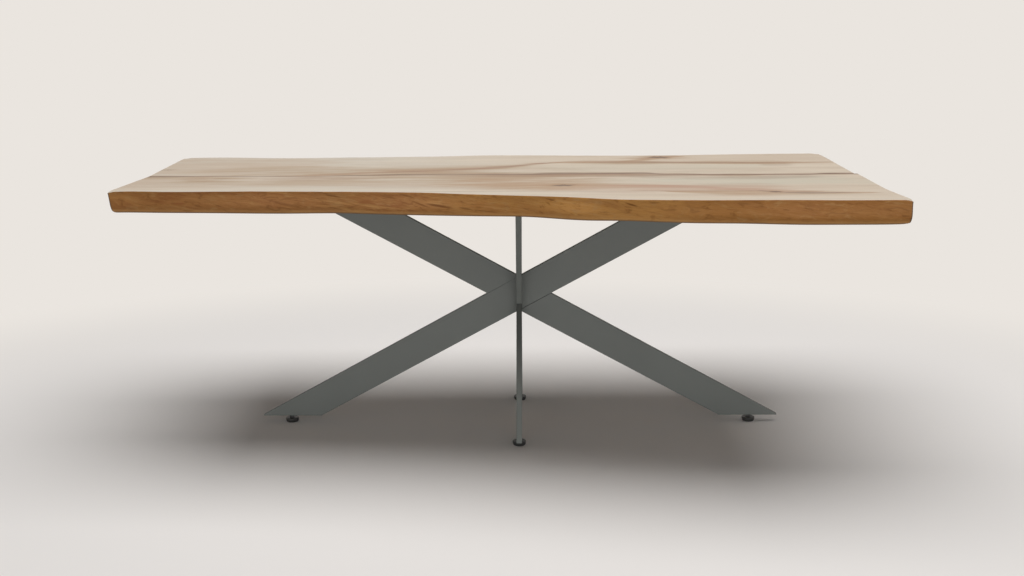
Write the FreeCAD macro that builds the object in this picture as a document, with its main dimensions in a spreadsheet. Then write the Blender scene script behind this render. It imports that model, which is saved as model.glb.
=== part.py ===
import FreeCAD, Part
import os
import Sketcher

# Live-edge dining table: two thick hickory boards glued edge to edge, carried by a crossed base
# of flat steel bars. One wide cross runs along the table, a narrower one runs across it, and both
# stand on four levelling feet. Bolts and threaded inserts hold the wood to plates on the bars.
# Millimetres, +Z up. X runs along the table and Y from front to back. The origin lies on the
# floor under the middle of the top. The base has its own axis, set off from there.

doc = FreeCAD.newDocument("LiveEdgeTable")
sheet = doc.addObject("Spreadsheet::Sheet", "Sizes")

DRIVING_SIZES = [
    # Wooden top
    ("table_height", 760, "floor to top face"),
    ("slab_length", 2084, "outermost point of the left end to that of the right end"),
    ("slab_thickness", 55, "planed thickness of both boards"),
    ("front_reach", 584, "glue line to the outermost point of the front live edge"),
    ("rear_reach", 565, "glue line to the outermost point of the rear live edge"),
    ("left_end_rake", 13, "the left end leans in by this much at the bottom"),
    ("right_end_rake", 17, "the right end leans in by this much at the bottom"),
    ("left_end_hollow", 24, "left end at the glue line, in from its outermost point"),
    ("left_front_setback", 10, "left end at the front live edge, in from its outermost point"),
    ("right_end_hollow", 18, "right end of the rear board at the glue line, in likewise"),
    ("right_end_step", 9, "the front board stands out past the rear one at the right end"),
    ("right_front_setback", 21, "front board's right end where it turns, in from the outermost point"),
    ("right_front_flare", 13, "from that turn to the front live edge it comes out again by this much"),
    ("edge_round", 6, "roll of the live edge into the bottom face"),
    # Loose tenons in the glue line
    ("tenon_length", 80, "along the glue line"),
    ("tenon_depth", 50, "across the glue line, half in each board"),
    ("tenon_thickness", 12, "up and down"),
    ("tenon_pitch", 230, "from one tenon to the next"),
    ("tenon_play", 0.1, "room round a tenon in its mortise"),
    # Place of the base under the top
    ("base_across", 55, "X of the axis of the base"),
    ("base_behind_joint", 52.5, "glue line to the axis of the base, towards the back"),
    # Flat steel bars
    ("bar_thickness", 16, "thickness of every bar"),
    ("bar_edge_round", 2, "radius on the long edges of the bars"),
    ("foot_height", 19.5, "floor to the underside of the bars"),
    ("long_foot_reach", 696, "axis of the base to the middle of a foot cut, along the table"),
    ("long_foot_cut", 182, "length of the foot cut of a long bar"),
    ("long_top_reach", 546, "axis of the base to the middle of a top cut, along the table"),
    ("long_top_cut", 197, "length of the top cut of a long bar"),
    ("short_foot_reach", 220, "axis of the base to the middle of a foot cut, across the table"),
    ("short_foot_cut", 100, "length of the foot cut of a short arm"),
    ("short_top_reach", 196, "axis of the base to the middle of a top cut, across the table"),
    ("short_top_cut", 109, "length of the top cut of a short arm"),
    # Mounting plates
    ("plate_thickness", 6, "thickness of every mounting plate"),
    ("plate_margin", 33, "plate past the top cut of a bar, at each end"),
    ("plate_corner", 10, "corner radius of a plate"),
    ("long_plate_width", 220, "plates of the long bars, across the table"),
    ("short_plate_width", 140, "plates of the short arms, along the table"),
    ("slot_inset", 20, "edge of a plate to the middle of a slot"),
    ("slot_radius", 4.5, "half the width of a slot"),
    ("slot_travel", 10, "distance between the two centres of a slot, across the grain"),
    # Bolts, washers and threaded inserts
    ("bolt_radius", 4, "shank of a mounting bolt"),
    ("bolt_length", 25, "under the head"),
    ("bolt_head_radius", 7, "button head"),
    ("bolt_head_height", 4.4, "button head"),
    ("bolt_socket_flats", 5, "hexagon socket across its flats"),
    ("bolt_socket_depth", 2.6, "hexagon socket"),
    ("washer_radius", 12, "wide washer that covers a slot"),
    ("washer_thickness", 2, "wide washer"),
    ("thread_play", 0.05, "room between a thread and what it screws into"),
    ("insert_radius", 6, "outside of a threaded insert"),
    ("insert_length", 15, "length of a threaded insert"),
    ("insert_relief", 4, "hole in the wood past the end of an insert"),
    # Levelling feet
    ("pad_radius", 19.3, "outside of a foot pad at the top"),
    ("pad_base_radius", 17, "outside of a foot pad at the floor"),
    ("pad_height", 12.5, "height of a foot pad"),
    ("pad_skirt_height", 7, "floor to where a foot pad reaches its full width"),
    ("pad_bottom_round", 2.5, "bottom edge of a pad"),
    ("pad_top_round", 1.2, "top edge of a pad"),
    ("pad_floor", 3, "plastic under the head of the stud"),
    ("stud_radius", 4, "threaded shank of a stud"),
    ("stud_head_radius", 7, "round head held inside the pad"),
    ("stud_head_height", 4, "round head held inside the pad"),
    ("stud_play", 0.05, "room round the stud in the pad and in the bar"),
    ("stud_grip", 28, "stud inside the bar"),
    ("stud_bore_relief", 4, "bore in the bar past the end of the stud"),
    ("collar_flats", 13, "hexagon collar of the stud across its flats"),
    ("collar_height", 4.6, "hexagon collar of the stud"),
    ("collar_lift", 0.6, "pad to hexagon collar"),
    ("stud_tip_chamfer", 1, "tip of a stud"),
    # One overrun for all cuts, and one tolerance for finding edges
    ("overrun", 40, "how far every cut runs past what it cuts"),
    ("same_place", 0.01, "points closer than this count as one"),
]

for row, (alias, value, meaning) in enumerate(DRIVING_SIZES, start=1):
    sheet.set(f"A{row}", meaning)
    sheet.set(f"B{row}", str(value))
    sheet.setAlias(f"B{row}", alias)
doc.recompute()

# Each share along the board goes from the left end, 0, to the right end, 1. Depth shares are of
# the reach of the board. The wane is how far the lower flank stands out past the top edge there.
FRONT_EDGE_SHARES = [
    (0.00, 0.572, 0.009),
    (0.035, 0.556, 0.024),
    (0.065, 0.570, 0.021),
    (0.124, 0.578, 0.026),
    (0.184, 0.575, 0.047),
    (0.243, 0.586, 0.047),
    (0.302, 0.599, 0.031),
    (0.347, 0.612, 0.048),
    (0.381, 0.626, 0.056),
    (0.416, 0.645, 0.057),
    (0.451, 0.682, 0.036),
    (0.490, 0.716, 0.017),
    (0.540, 0.755, 0.001),
    (0.579, 0.787, 0.031),
    (0.614, 0.832, 0.030),
    (0.648, 0.878, -0.006),
    (0.688, 0.895, 0.009),
    (0.737, 0.909, 0.034),
    (0.797, 0.912, 0.047),
    (0.856, 0.914, 0.079),
    (0.905, 0.927, 0.071),
    (0.955, 0.928, 0.070),
    (1.00, 0.929, 0.058),
]
REAR_EDGE_SHARES = [
    (0.00, 0.876, 0.040),
    (0.055, 0.890, 0.048),
    (0.124, 0.860, 0.062),
    (0.184, 0.844, 0.070),
    (0.253, 0.866, 0.055),
    (0.332, 0.882, 0.040),
    (0.401, 0.902, 0.046),
    (0.470, 0.951, 0.028),
    (0.530, 0.946, 0.022),
    (0.589, 0.927, 0.040),
    (0.658, 0.909, 0.048),
    (0.737, 0.906, 0.055),
    (0.806, 0.927, 0.060),
    (0.866, 0.954, 0.044),
    (0.925, 0.968, 0.032),
    (1.00, 0.980, 0.016),
]
# How much of the thickness lies below each line of a live edge, and of the wane it stands out.
FLANK_SHARES = [(1.0, 0.0), (0.66, 0.42), (0.14, 1.0)]
# The sawn ends turn straight across the board from this share of its reach on.
STRAIGHT_END_SHARE = {"front_reach": 0.58, "rear_reach": 0.8}


# Heights and places that many pieces share.
GLUE_LINE = "((Sizes.front_reach - Sizes.rear_reach) / 2)"
BASE_BACK = f"({GLUE_LINE} + Sizes.base_behind_joint)"


def size(alias):
    """Value of one named size."""
    return float(sheet.get(alias))


def worked_out(formula):
    """Value of a formula in the named sizes."""
    return float(sheet.evalExpression(formula))


def origin_plane(body, role):
    """One of the three planes of a body's own origin."""
    return next(item for item in body.Origin.OriginFeatures if item.Role == role)


def new_body(label, across="0", back="0", up="0"):
    """Empty body whose place is given by three formulas."""
    body = doc.addObject("PartDesign::Body", label)
    body.Label = label
    body.setExpression("Placement.Base.x", across)
    body.setExpression("Placement.Base.y", back)
    body.setExpression("Placement.Base.z", up)
    return body


def new_sketch(body, name, role, lift="0"):
    """Empty sketch on a plane of the body, lifted off it by a formula."""
    sketch = body.newObject("Sketcher::SketchObject", name)
    sketch.AttachmentSupport = [(origin_plane(body, role), "")]
    sketch.MapMode = "FlatFace"
    sketch.setExpression("AttachmentOffset.Base.z", lift)
    return sketch


def pin_point(sketch, edge, vertex, name, across, up):
    """Tie one point of a sketch to two formulas."""
    for kind, formula in (("DistanceX", across), ("DistanceY", up)):
        start = worked_out(formula)
        index = sketch.addConstraint(Sketcher.Constraint(kind, -1, 1, edge, vertex, start))
        sketch.renameConstraint(index, f"{name}_{kind}")
        sketch.setExpression(f"Constraints.{name}_{kind}", formula)


def draw_polygon(sketch, corners):
    """Closed straight-sided outline; each corner is a pair of formulas."""
    points = [FreeCAD.Vector(worked_out(across), worked_out(up), 0) for across, up in corners]
    count = len(points)
    sides = [
        sketch.addGeometry(Part.LineSegment(points[index], points[(index + 1) % count]), False)
        for index in range(count)
    ]
    for index in range(count):
        following = (index + 1) % count
        sketch.addConstraint(Sketcher.Constraint("Coincident", sides[index], 2, sides[following], 1))
    for index, (across, up) in enumerate(corners):
        pin_point(sketch, sides[index], 1, f"corner{index}", across, up)


def draw_circle(sketch, name, across, up, radius):
    """Circle whose centre and radius are formulas."""
    centre = FreeCAD.Vector(worked_out(across), worked_out(up), 0)
    start = worked_out(radius)
    circle = sketch.addGeometry(Part.Circle(centre, FreeCAD.Vector(0, 0, 1), start), False)
    pin_point(sketch, circle, 3, name, across, up)
    index = sketch.addConstraint(Sketcher.Constraint("Radius", circle, start))
    sketch.renameConstraint(index, f"{name}_radius")
    sketch.setExpression(f"Constraints.{name}_radius", radius)


def draw_slot(sketch, name, across, up, travel, radius):
    """Round-ended slot that runs along the second axis of the sketch."""
    place = FreeCAD.Vector(worked_out(across), worked_out(up), 0)
    bend = worked_out(radius)
    far = place + FreeCAD.Vector(0, worked_out(travel) / 2, 0)
    near = place - FreeCAD.Vector(0, worked_out(travel) / 2, 0)
    side = FreeCAD.Vector(bend, 0, 0)
    end = FreeCAD.Vector(0, bend, 0)
    top = sketch.addGeometry(Part.Arc(far + side, far + end, far - side), False)
    left = sketch.addGeometry(Part.LineSegment(far - side, near - side), False)
    bottom = sketch.addGeometry(Part.Arc(near - side, near - end, near + side), False)
    right = sketch.addGeometry(Part.LineSegment(near + side, far + side), False)
    for first, second in ((top, left), (left, bottom), (bottom, right), (right, top)):
        sketch.addConstraint(Sketcher.Constraint("Tangent", first, 2, second, 1))
    pin_point(sketch, top, 3, f"{name}_far", across, f"{up} + {travel} / 2")
    pin_point(sketch, bottom, 3, f"{name}_near", across, f"{up} - {travel} / 2")
    index = sketch.addConstraint(Sketcher.Constraint("Radius", top, bend))
    sketch.renameConstraint(index, f"{name}_radius")
    sketch.setExpression(f"Constraints.{name}_radius", radius)


def pad_both_ways(body, sketch, length):
    """Solid of a given thickness with the sketch at its middle."""
    pad = body.newObject("PartDesign::Pad", "Plate")
    pad.Profile = sketch
    pad.SideType = "Symmetric"
    pad.setExpression("Length", length)
    return pad


def pad_up(body, sketch, length):
    """Solid that rises from the sketch."""
    pad = body.newObject("PartDesign::Pad", "Block")
    pad.Profile = sketch
    pad.setExpression("Length", length)
    return pad


def revolve(body, sketch):
    """Full turn about the second axis of the sketch."""
    turned = body.newObject("PartDesign::Revolution", "Turned")
    turned.Profile = sketch
    turned.ReferenceAxis = (sketch, ["V_Axis"])
    turned.Angle = 360
    return turned


def cut_away(body, sketch, name):
    """Cut the sketch out of the body, right through both ways, and make sure that it cuts."""
    doc.recompute()
    before = body.Shape.Volume
    pocket = body.newObject("PartDesign::Pocket", name)
    pocket.Profile = sketch
    pocket.SideType = "Symmetric"
    pocket.Type = "ThroughAll"
    doc.recompute()
    if not body.Shape.Volume < before:
        raise RuntimeError(f"{name} cut nothing from {body.Label}")
    return pocket


def bore_up(body, name, sketch, depth):
    """Blind round hole that rises from the sketch."""
    doc.recompute()
    before = body.Shape.Volume
    pocket = body.newObject("PartDesign::Pocket", name)
    pocket.Profile = sketch
    pocket.Reversed = True
    pocket.setExpression("Length", depth)
    doc.recompute()
    if not body.Shape.Volume < before:
        raise RuntimeError(f"{name} cut nothing from {body.Label}")
    return pocket


def round_edges(body, name, radius, wanted):
    """Fillet the edges that the test picks out of the body's last feature."""
    doc.recompute()
    base = body.Tip
    names = [f"Edge{index}" for index, edge in enumerate(base.Shape.Edges, start=1) if wanted(edge)]
    if not names:
        raise RuntimeError(f"no edge to round on {body.Label}")
    fillet = body.newObject("PartDesign::Fillet", name)
    fillet.Base = (base, names)
    fillet.setExpression("Radius", radius)
    return fillet


# Wooden boards. Each one is lofted from its planed top face to its planed bottom face through
# the lines of its live edge, and then sawn to length and along the glue line.


def live_edge_line(edge_shares, reach, facing, flank):
    """Spline along a live edge at one height, past both ends of the board."""
    height_share, wane_share = flank
    height = size("table_height") - size("slab_thickness") * (1 - height_share)
    inset = size("edge_round") if height_share == 0 else 0
    places = [edge_shares[0], *edge_shares, edge_shares[-1]]
    points = []
    for index, (station, depth, wane) in enumerate(places):
        along = (station - 0.5) * size("slab_length")
        if index == 0:
            along -= size("overrun")
        if index == len(places) - 1:
            along += size("overrun")
        out = (depth + wane * wane_share) * size(reach) - inset
        points.append(FreeCAD.Vector(along, glue_line + facing * out, height))
    curve = Part.BSplineCurve()
    curve.interpolate(points)
    return curve.toShape(), points[0], points[-1]


def board_blank(edge_shares, reach, facing):
    """Board with its live edge, still too long and too wide at the sawn faces."""
    sections = []
    for flank in [*FLANK_SHARES, (0, 1.0)]:
        spline, first, last = live_edge_line(edge_shares, reach, facing, flank)
        back = glue_line - facing * size("overrun")
        far = FreeCAD.Vector(last.x, back, last.z)
        near = FreeCAD.Vector(first.x, back, first.z)
        sides = [Part.makeLine(last, far), Part.makeLine(far, near), Part.makeLine(near, first)]
        sections.append(Part.Wire([spline, *sides]))
    return Part.makeLoft(sections, True, False)


def sawn_space(reach, facing):
    """Room that the sawn ends and the glue line leave for a board, as a loft from top to bottom."""
    half = size("slab_length") / 2
    if reach == "rear_reach":
        left_cuts = (size("left_end_hollow"), 0)
        right_cuts = (size("right_end_hollow"), 0)
        flare = 0
    else:
        left_cuts = (size("left_end_hollow"), size("left_front_setback"))
        right_cuts = (size("right_end_hollow") - size("right_end_step"), size("right_front_setback"))
        flare = size("right_front_flare")
    past_turn = size(reach) * (1 - STRAIGHT_END_SHARE[reach])
    turn = glue_line + facing * (size(reach) - past_turn)
    outside = glue_line + facing * (size(reach) + size("overrun"))
    flare *= (past_turn + size("overrun")) / past_turn
    wires = []
    for height, left_rake, right_rake in (
        (size("table_height"), 0, 0),
        (size("table_height") - size("slab_thickness"), size("left_end_rake"), size("right_end_rake")),
    ):
        left = left_rake - half
        right = half - right_rake
        corners = [
            FreeCAD.Vector(left + left_cuts[0], glue_line, height),
            FreeCAD.Vector(left + left_cuts[1], turn, height),
            FreeCAD.Vector(left + left_cuts[1], outside, height),
            FreeCAD.Vector(right - right_cuts[1] + flare, outside, height),
            FreeCAD.Vector(right - right_cuts[1], turn, height),
            FreeCAD.Vector(right - right_cuts[0], glue_line, height),
        ]
        wires.append(Part.makePolygon([*corners, corners[0]]))
    return Part.makeLoft(wires, True, True)


def tenon(place, play):
    """Flat loose tenon with round ends, grown by the play."""
    thickness = size("tenon_thickness") + 2 * play
    length = size("tenon_length") - size("tenon_thickness")
    depth = size("tenon_depth") + 2 * play
    back = place.y - depth / 2
    middle = Part.makeBox(
        length, depth, thickness,
        FreeCAD.Vector(place.x - length / 2, back, place.z - thickness / 2),
    )
    along_y = FreeCAD.Vector(0, 1, 0)
    ends = [
        Part.makeCylinder(
            thickness / 2, depth, FreeCAD.Vector(place.x + side * length / 2, back, place.z), along_y
        )
        for side in (-1, 1)
    ]
    return middle.fuse(ends).removeSplitter()


def shaped_piece(label, shape):
    """Finished piece whose shape comes from the functions above."""
    piece = doc.addObject("Part::Feature", label)
    piece.Label = label
    piece.Shape = shape
    piece.Placement = FreeCAD.Placement()
    return piece


glue_line = worked_out(GLUE_LINE)
middle_height = size("table_height") - size("slab_thickness") / 2
tenon_count = int((size("slab_length") - size("tenon_length")) // size("tenon_pitch"))
tenon_places = [
    FreeCAD.Vector((index - (tenon_count - 1) / 2) * size("tenon_pitch"), glue_line, middle_height)
    for index in range(tenon_count)
]

# Mounting plates: one on each of the four bar tops, with four slots across the grain of the wood.

LEG_TOP = "(Sizes.table_height - Sizes.slab_thickness - Sizes.plate_thickness)"
LONG_PLATE = "(Sizes.long_top_cut + 2 * Sizes.plate_margin)"
SHORT_PLATE = "(Sizes.short_top_cut + 2 * Sizes.plate_margin)"
# Label, place of its middle from the axis of the base, and size along and across the table.
PLATES = [
    ("left_mounting_plate", "-Sizes.long_top_reach", "0", LONG_PLATE, "Sizes.long_plate_width"),
    ("right_mounting_plate", "Sizes.long_top_reach", "0", LONG_PLATE, "Sizes.long_plate_width"),
    ("front_mounting_plate", "0", "-Sizes.short_top_reach", "Sizes.short_plate_width", SHORT_PLATE),
    ("rear_mounting_plate", "0", "Sizes.short_top_reach", "Sizes.short_plate_width", SHORT_PLATE),
]
CORNER_SIGNS = [(-1, -1), (1, -1), (1, 1), (-1, 1)]


def upright(edge):
    """Test for an edge that runs up and down."""
    first, last = (vertex.Point for vertex in edge.Vertexes)
    return abs(last.z - first.z) > size("same_place")


pieces = []
bolt_places = []
for label, along, across, length, width in PLATES:
    plate = new_body(label, f"Sizes.base_across + {along}", f"{BASE_BACK} + {across}", LEG_TOP)
    outline = new_sketch(plate, "Outline", "XY_Plane")
    plate_corners = [(f"{sx} * {length} / 2", f"{sy} * {width} / 2") for sx, sy in CORNER_SIGNS]
    draw_polygon(outline, plate_corners)
    pad_up(plate, outline, "Sizes.plate_thickness")
    round_edges(plate, "Corners", "Sizes.plate_corner", upright)
    slots = new_sketch(plate, "Slots", "XY_Plane")
    for index, (sx, sy) in enumerate(CORNER_SIGNS):
        slot_along = f"{sx} * ({length} / 2 - Sizes.slot_inset)"
        slot_across = f"{sy} * ({width} / 2 - Sizes.slot_inset)"
        slot_sizes = ("Sizes.slot_travel", "Sizes.slot_radius")
        draw_slot(slots, f"slot{index}", slot_along, slot_across, *slot_sizes)
        bolt_across = f"Sizes.base_across + {along} + {slot_along}"
        bolt_back = f"{BASE_BACK} + {across} + {slot_across}"
        bolt_places.append((bolt_across, bolt_back))
    cut_away(plate, slots, "SlotCut")
    pieces.append(plate)

# Boards and tenons, with the holes for the inserts drilled from below.

insert_hole_depth = size("insert_length") + size("insert_relief")
slab_bottom = size("table_height") - size("slab_thickness")
insert_holes = [
    Part.makeCylinder(
        size("insert_radius") + size("thread_play"),
        insert_hole_depth + size("overrun"),
        FreeCAD.Vector(worked_out(across), worked_out(back), slab_bottom - size("overrun")),
    )
    for across, back in bolt_places
]
mortises = [tenon(place, size("tenon_play")) for place in tenon_places]
for label, edge_shares, reach, facing in (
    ("front_board", FRONT_EDGE_SHARES, "front_reach", -1),
    ("rear_board", REAR_EDGE_SHARES, "rear_reach", 1),
):
    blank = board_blank(edge_shares, reach, facing).common(sawn_space(reach, facing))
    board = blank.cut([*mortises, *insert_holes])
    pieces.append(shaped_piece(label, board.Solids[0]))
tenons = Part.makeCompound([tenon(place, 0) for place in tenon_places])
pieces.append(shaped_piece("joint_tenons", tenons))

# Bars of the crossed base. A bar runs from a foot cut on one side to a top cut on the other side.

FLOOR_GAP = "Sizes.foot_height"
BAR_RISE = f"({LEG_TOP} - {FLOOR_GAP})"
LONG = {
    "plane": "XZ_Plane",
    "axis": "x",
    "foot_out": "(Sizes.long_foot_reach + Sizes.long_foot_cut / 2)",
    "foot_in": "(Sizes.long_foot_reach - Sizes.long_foot_cut / 2)",
    "top_out": "(Sizes.long_top_reach + Sizes.long_top_cut / 2)",
    "top_in": "(Sizes.long_top_reach - Sizes.long_top_cut / 2)",
}
SHORT = {
    "plane": "YZ_Plane",
    "axis": "y",
    "foot_out": "(Sizes.short_foot_reach + Sizes.short_foot_cut / 2)",
    "foot_in": "(Sizes.short_foot_reach - Sizes.short_foot_cut / 2)",
    "top_out": "(Sizes.short_top_reach + Sizes.short_top_cut / 2)",
    "top_in": "(Sizes.short_top_reach - Sizes.short_top_cut / 2)",
}


def sloping_bar(label, cross, foot_side):
    """Straight bar from the foot on one side of the base's axis to the top on the other side."""
    body = new_body(label, "Sizes.base_across", BASE_BACK)
    outline = new_sketch(body, "Outline", cross["plane"])
    corners = [
        (f"{foot_side} * {cross['foot_out']}", FLOOR_GAP),
        (f"{foot_side} * {cross['foot_in']}", FLOOR_GAP),
        (f"{-foot_side} * {cross['top_out']}", LEG_TOP),
        (f"{-foot_side} * {cross['top_in']}", LEG_TOP),
    ]
    draw_polygon(outline, corners)
    pad_both_ways(body, outline, "Sizes.bar_thickness")
    return body


def trim(body, cross, corners):
    """Take away what lies inside the corners."""
    outline = new_sketch(body, "TrimOutline", cross["plane"])
    draw_polygon(outline, corners)
    cut_away(body, outline, "Trim")


def bore_for_stud(body, across, back):
    """Threaded bore for the stud of a levelling foot, up from the foot cut."""
    outline = new_sketch(body, "StudBoreOutline", "XY_Plane", FLOOR_GAP)
    draw_circle(outline, "bore", across, back, "Sizes.stud_radius + Sizes.stud_play")
    bore_up(body, "StudBore", outline, "Sizes.stud_grip + Sizes.stud_bore_relief")


def ease_edges(body, cross, foot_side):
    """Round the long edges of a bar and the edges of its foot cut, on both faces."""
    near = size("same_place")
    half = size("bar_thickness") / 2
    depth = "y" if cross["axis"] == "x" else "x"

    def wanted(edge):
        if not isinstance(edge.Curve, Part.Line):
            return False
        first, last = (vertex.Point for vertex in edge.Vertexes)
        on_face = min(abs(getattr(first, depth)), abs(getattr(last, depth))) > half - near
        run = last - first
        along_bar = getattr(run, cross["axis"]) * run.z * foot_side < -near
        foot_cut = abs(run.z) < near and abs(first.z - size("foot_height")) < near
        return on_face and run.Length > 2 * half and (along_bar or foot_cut)

    round_edges(body, "EasedEdges", "Sizes.bar_edge_round", wanted)


# The long cross, seen from the front: one bar runs through from the left foot to the right top.
# The other one is cut in two and butts against both edges of it.

long_bar = sloping_bar("long_bar", LONG, -1)
bore_for_stud(long_bar, "-Sizes.long_foot_reach", "0")
ease_edges(long_bar, LONG, -1)

PAST_FOOT = f"({LONG['foot_out']} + Sizes.overrun)"
UNDER_FLOOR_GAP = f"({FLOOR_GAP} - Sizes.overrun)"
OVER_LEG_TOP = f"({LEG_TOP} + Sizes.overrun)"

upper_half_bar = sloping_bar("upper_half_bar", LONG, 1)
below_the_long_bar = [
    (f"-1 * {LONG['foot_out']}", FLOOR_GAP),
    (LONG["top_in"], LEG_TOP),
    (PAST_FOOT, LEG_TOP),
    (PAST_FOOT, UNDER_FLOOR_GAP),
    (f"-1 * {LONG['foot_out']}", UNDER_FLOOR_GAP),
]
trim(upper_half_bar, LONG, below_the_long_bar)
ease_edges(upper_half_bar, LONG, 1)

lower_half_bar = sloping_bar("lower_half_bar", LONG, 1)
above_the_long_bar = [
    (f"-1 * {LONG['foot_in']}", FLOOR_GAP),
    (LONG["top_out"], LEG_TOP),
    (LONG["top_out"], OVER_LEG_TOP),
    (f"-1 * {PAST_FOOT}", OVER_LEG_TOP),
    (f"-1 * {PAST_FOOT}", FLOOR_GAP),
]
trim(lower_half_bar, LONG, above_the_long_bar)
bore_for_stud(lower_half_bar, "Sizes.long_foot_reach", "0")
ease_edges(lower_half_bar, LONG, 1)
pieces += [long_bar, upper_half_bar, lower_half_bar]

# The short cross, seen from the side: four arms. On each side the upper and the lower arm meet in a
# level seam, butt against the face of the long cross, and reach the arm behind it above and below.

SHORT_SPAN = "(Sizes.short_foot_reach + Sizes.short_top_reach)"
SEAM = f"({FLOOR_GAP} + {BAR_RISE} * Sizes.short_foot_reach / {SHORT_SPAN})"
HALF_BAR = "Sizes.bar_thickness / 2"
UPPER_EDGE_RUN = f"({LONG['foot_out']} + {LONG['top_in']})"
LOWER_EDGE_RUN = f"({LONG['foot_in']} + {LONG['top_out']})"
OVER_CROSS = f"({FLOOR_GAP} + {BAR_RISE} * ({LONG['foot_out']} + {HALF_BAR}) / {UPPER_EDGE_RUN})"
UNDER_CROSS = f"({FLOOR_GAP} + {BAR_RISE} * ({LONG['foot_in']} - {HALF_BAR}) / {LOWER_EDGE_RUN})"
PAST_ARMS = f"({SHORT_SPAN} + Sizes.overrun)"

for side_name, side in (("front", -1), ("rear", 1)):
    for level, foot_side, step, inner_end, outer_end in (
        ("upper", -side, OVER_CROSS, OVER_LEG_TOP, UNDER_FLOOR_GAP),
        ("lower", side, UNDER_CROSS, UNDER_FLOOR_GAP, OVER_LEG_TOP),
    ):
        arm = sloping_bar(f"{side_name}_{level}_arm", SHORT, foot_side)
        stair = [
            (f"{side} * {PAST_ARMS}", SEAM),
            (f"{side} * {HALF_BAR}", SEAM),
            (f"{side} * {HALF_BAR}", step),
            ("0", step),
            ("0", inner_end),
            (f"{-side} * {PAST_ARMS}", inner_end),
            (f"{-side} * {PAST_ARMS}", outer_end),
            (f"{side} * {PAST_ARMS}", outer_end),
        ]
        trim(arm, SHORT, stair)
        if level == "lower":
            bore_for_stud(arm, "0", f"{side} * Sizes.short_foot_reach")
        ease_edges(arm, SHORT, foot_side)
        pieces.append(arm)

# Levelling feet: a plastic pad, and a steel stud whose round head turns inside the pad. The stud
# screws into the foot cut of its bar, and a hexagon collar takes the spanner.

HEAD_SEAT = "(Sizes.pad_floor + Sizes.stud_play)"
HEAD_TOP = f"({HEAD_SEAT} + Sizes.stud_head_height)"
NECK = "(Sizes.stud_radius + Sizes.stud_play)"
CAVITY = "(Sizes.stud_head_radius + Sizes.stud_play)"
STUD_TIP = "(Sizes.foot_height + Sizes.stud_grip)"


def hexagon(flats):
    """Six corners of a hexagon of the given size across its flats."""
    point = f"{flats} / sqrt(3)"
    left_side = [("0", point), (f"-{flats} / 2", f"{point} / 2"), (f"-{flats} / 2", f"-{point} / 2")]
    right_side = [("0", f"-{point}"), (f"{flats} / 2", f"-{point} / 2"), (f"{flats} / 2", f"{point} / 2")]
    return left_side + right_side


def turned_body(label, across, back, up, corners):
    """Round piece turned from an outline of radii and heights."""
    body = new_body(label, across, back, up)
    outline = new_sketch(body, "Outline", "XZ_Plane")
    draw_polygon(outline, corners)
    revolve(body, outline)
    return body


def rim(radius, height):
    """Test for a full circle of one radius at one height."""

    def wanted(edge):
        if not isinstance(edge.Curve, Part.Circle):
            return False
        near = size("same_place")
        return abs(edge.Curve.Radius - radius) < near and abs(edge.Curve.Center.z - height) < near

    return wanted


for side_name, along, across in (
    ("left", "-Sizes.long_foot_reach", "0"),
    ("right", "Sizes.long_foot_reach", "0"),
    ("front", "0", "-Sizes.short_foot_reach"),
    ("rear", "0", "Sizes.short_foot_reach"),
):
    foot_place = (f"Sizes.base_across + {along}", f"{BASE_BACK} + {across}", "0")
    pad_corners = [
        ("0", "0"),
        ("Sizes.pad_base_radius", "0"),
        ("Sizes.pad_radius", "Sizes.pad_skirt_height"),
        ("Sizes.pad_radius", "Sizes.pad_height"),
        (NECK, "Sizes.pad_height"),
        (NECK, f"{HEAD_TOP} + Sizes.stud_play"),
        (CAVITY, f"{HEAD_TOP} + Sizes.stud_play"),
        (CAVITY, "Sizes.pad_floor"),
        ("0", "Sizes.pad_floor"),
    ]
    foot_pad = turned_body(f"{side_name}_foot_pad", *foot_place, pad_corners)
    round_edges(foot_pad, "BottomRim", "Sizes.pad_bottom_round", rim(size("pad_base_radius"), 0))
    top_rim = rim(size("pad_radius"), size("pad_height"))
    round_edges(foot_pad, "TopRim", "Sizes.pad_top_round", top_rim)
    stud_corners = [
        ("0", HEAD_SEAT),
        ("Sizes.stud_head_radius", HEAD_SEAT),
        ("Sizes.stud_head_radius", HEAD_TOP),
        ("Sizes.stud_radius", HEAD_TOP),
        ("Sizes.stud_radius", f"{STUD_TIP} - Sizes.stud_tip_chamfer"),
        ("Sizes.stud_radius - Sizes.stud_tip_chamfer", STUD_TIP),
        ("0", STUD_TIP),
    ]
    foot_stud = turned_body(f"{side_name}_foot_stud", *foot_place, stud_corners)
    collar = new_sketch(foot_stud, "Collar", "XY_Plane", "Sizes.pad_height + Sizes.collar_lift")
    draw_polygon(collar, hexagon("Sizes.collar_flats"))
    pad_up(foot_stud, collar, "Sizes.collar_height")
    pieces += [foot_pad, foot_stud]

# Fasteners: each bolt comes up through a washer and a slot into a threaded insert in the wood. One of
# each is modelled about its own axis, with the underside of the plate at zero, and then repeated.

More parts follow.
